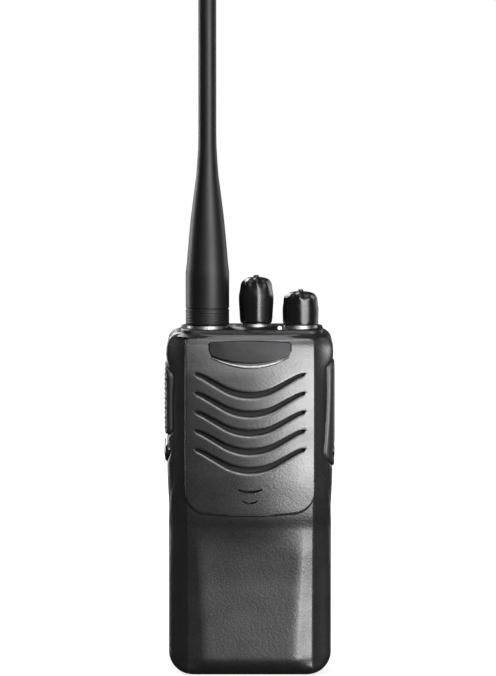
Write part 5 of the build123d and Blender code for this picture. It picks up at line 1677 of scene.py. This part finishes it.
# %% [markdown]
# ## Floor, light and camera
# The radio stands on a pale matt floor, lit as a product is in a studio. The strongest soft box stands
# in front to the right and gives the bright right facet. A narrow one higher up draws the brow, one on
# each side shows the flanks, and two weak ones light the crown and the back. The world is white to the
# camera and dimmer as a light, so the background is clean without washing out the black plastic.

# %% Floor
floor_mesh = bpy.data.meshes.new("studio_floor")
floor_mesh.from_pydata([(-4, -4, 0), (4, -4, 0), (4, 4, 0), (-4, 4, 0)], [], [(0, 1, 2, 3)])
floor = bpy.data.objects.new("studio_floor", floor_mesh)
bpy.context.scene.collection.objects.link(floor)
# The floor: matt white, a little dimmer just under the radio, for a soft shadow.
floor_paint, tree, place, shader = plain("matt_white_board", Roughness=0.9, IOR=1.45)
mottle = add_node(tree, "ShaderNodeTexNoise", {"Vector": place, "Scale": 1 / 0.05, "Detail": 3.0})
colour = add_node(tree, "ShaderNodeMix", {"Factor": mottle.outputs["Fac"], 6: srgb("#7e7e7e"), 7: srgb("#848484")},
                  data_type="RGBA")
tree.links.new(colour.outputs[2], shader.inputs["Base Color"])
away = add_node(tree, "ShaderNodeVectorMath", {0: place}, operation="LENGTH")
glow = add_node(tree, "ShaderNodeMapRange", {"Value": away.outputs["Value"], "From Min": 0.05, "From Max": 0.3,
                                             "To Min": 0.78, "To Max": 1.02})
tree.links.new(glow.outputs["Result"], shader.inputs["Emission Strength"])
shader.inputs["Emission Color"].default_value = (1.0, 1.0, 1.0, 1.0)
floor.visible_diffuse = False
floor.visible_glossy = False
floor.data.materials.append(floor_paint)
print("floor laid")

# %% [markdown]
# Every light is a large rectangle aimed at the middle of the radio. Its azimuth counts from the front
# towards the right, and its size sets how soft the highlight is.

# %% Light
def soft_box(name, azimuth, elevation, distance, width, height, watts):
    """A rectangular light on a sphere round the radio's middle, facing it."""
    a, e = math.radians(azimuth), math.radians(elevation)
    middle = Vector((0, 0, 0.07))
    away = Vector((math.sin(a) * math.cos(e), -math.cos(a) * math.cos(e), math.sin(e)))
    data = bpy.data.lights.new(name, "AREA")
    data.shape = "RECTANGLE"
    data.size = width
    data.size_y = height
    data.energy = watts
    light = bpy.data.objects.new(name, data)
    light.location = middle + away * distance
    light.rotation_euler = away.to_track_quat("Z", "Y").to_euler()
    bpy.context.scene.collection.objects.link(light)


soft_box("key_box", 27, 3, 1.0, 0.46, 0.8, 23)
soft_box("brow_box", 3, 36, 1.0, 0.6, 0.24, 6)
soft_box("left_side_box", -126, 16, 1.0, 0.3, 0.8, 7)
soft_box("right_side_box", 128, 16, 1.0, 0.3, 0.8, 3)
soft_box("top_box", 10, 76, 0.9, 0.6, 0.6, 3)
soft_box("back_box", -150, 38, 1.1, 0.6, 0.6, 10)

world = bpy.data.worlds.new("studio_white")
world.use_nodes = True
bpy.context.scene.world = world
tree = world.node_tree
tree.nodes.clear()
seen = add_node(tree, "ShaderNodeLightPath").outputs["Is Camera Ray"]
strength = add_node(tree, "ShaderNodeMapRange", {"Value": seen, "To Min": 0.04, "To Max": 1.0})
sky = add_node(tree, "ShaderNodeBackground", {"Color": (1.0, 1.0, 1.0, 1.0), "Strength": strength.outputs["Result"]})
add_node(tree, "ShaderNodeOutputWorld", {"Surface": sky.outputs["Background"]})
bpy.context.scene.view_settings.view_transform = "Standard"

# %% [markdown]
# A long lens from a little above the middle keeps the upright edges parallel.

# %% Camera
camera_data = bpy.data.cameras.new("studio_camera")
camera_data.lens = 180.0
camera_data.sensor_width = 36.0
camera_data.sensor_fit = "AUTO"
camera_data.clip_start = 0.05
camera_data.clip_end = 20.0
camera = bpy.data.objects.new("studio_camera", camera_data)
target = Vector((-0.0006, 0.0, 0.1049))
rise = math.radians(3.0)
camera_distance = 0.21125 * camera_data.lens / 36.0
camera.location = target + Vector((0.0, -math.cos(rise), math.sin(rise))) * camera_distance
camera.rotation_euler = (camera.location - target).to_track_quat("Z", "Y").to_euler()
bpy.context.scene.collection.objects.link(camera)
bpy.context.scene.camera = camera
print("camera stands", round(camera_distance, 3), "m away")
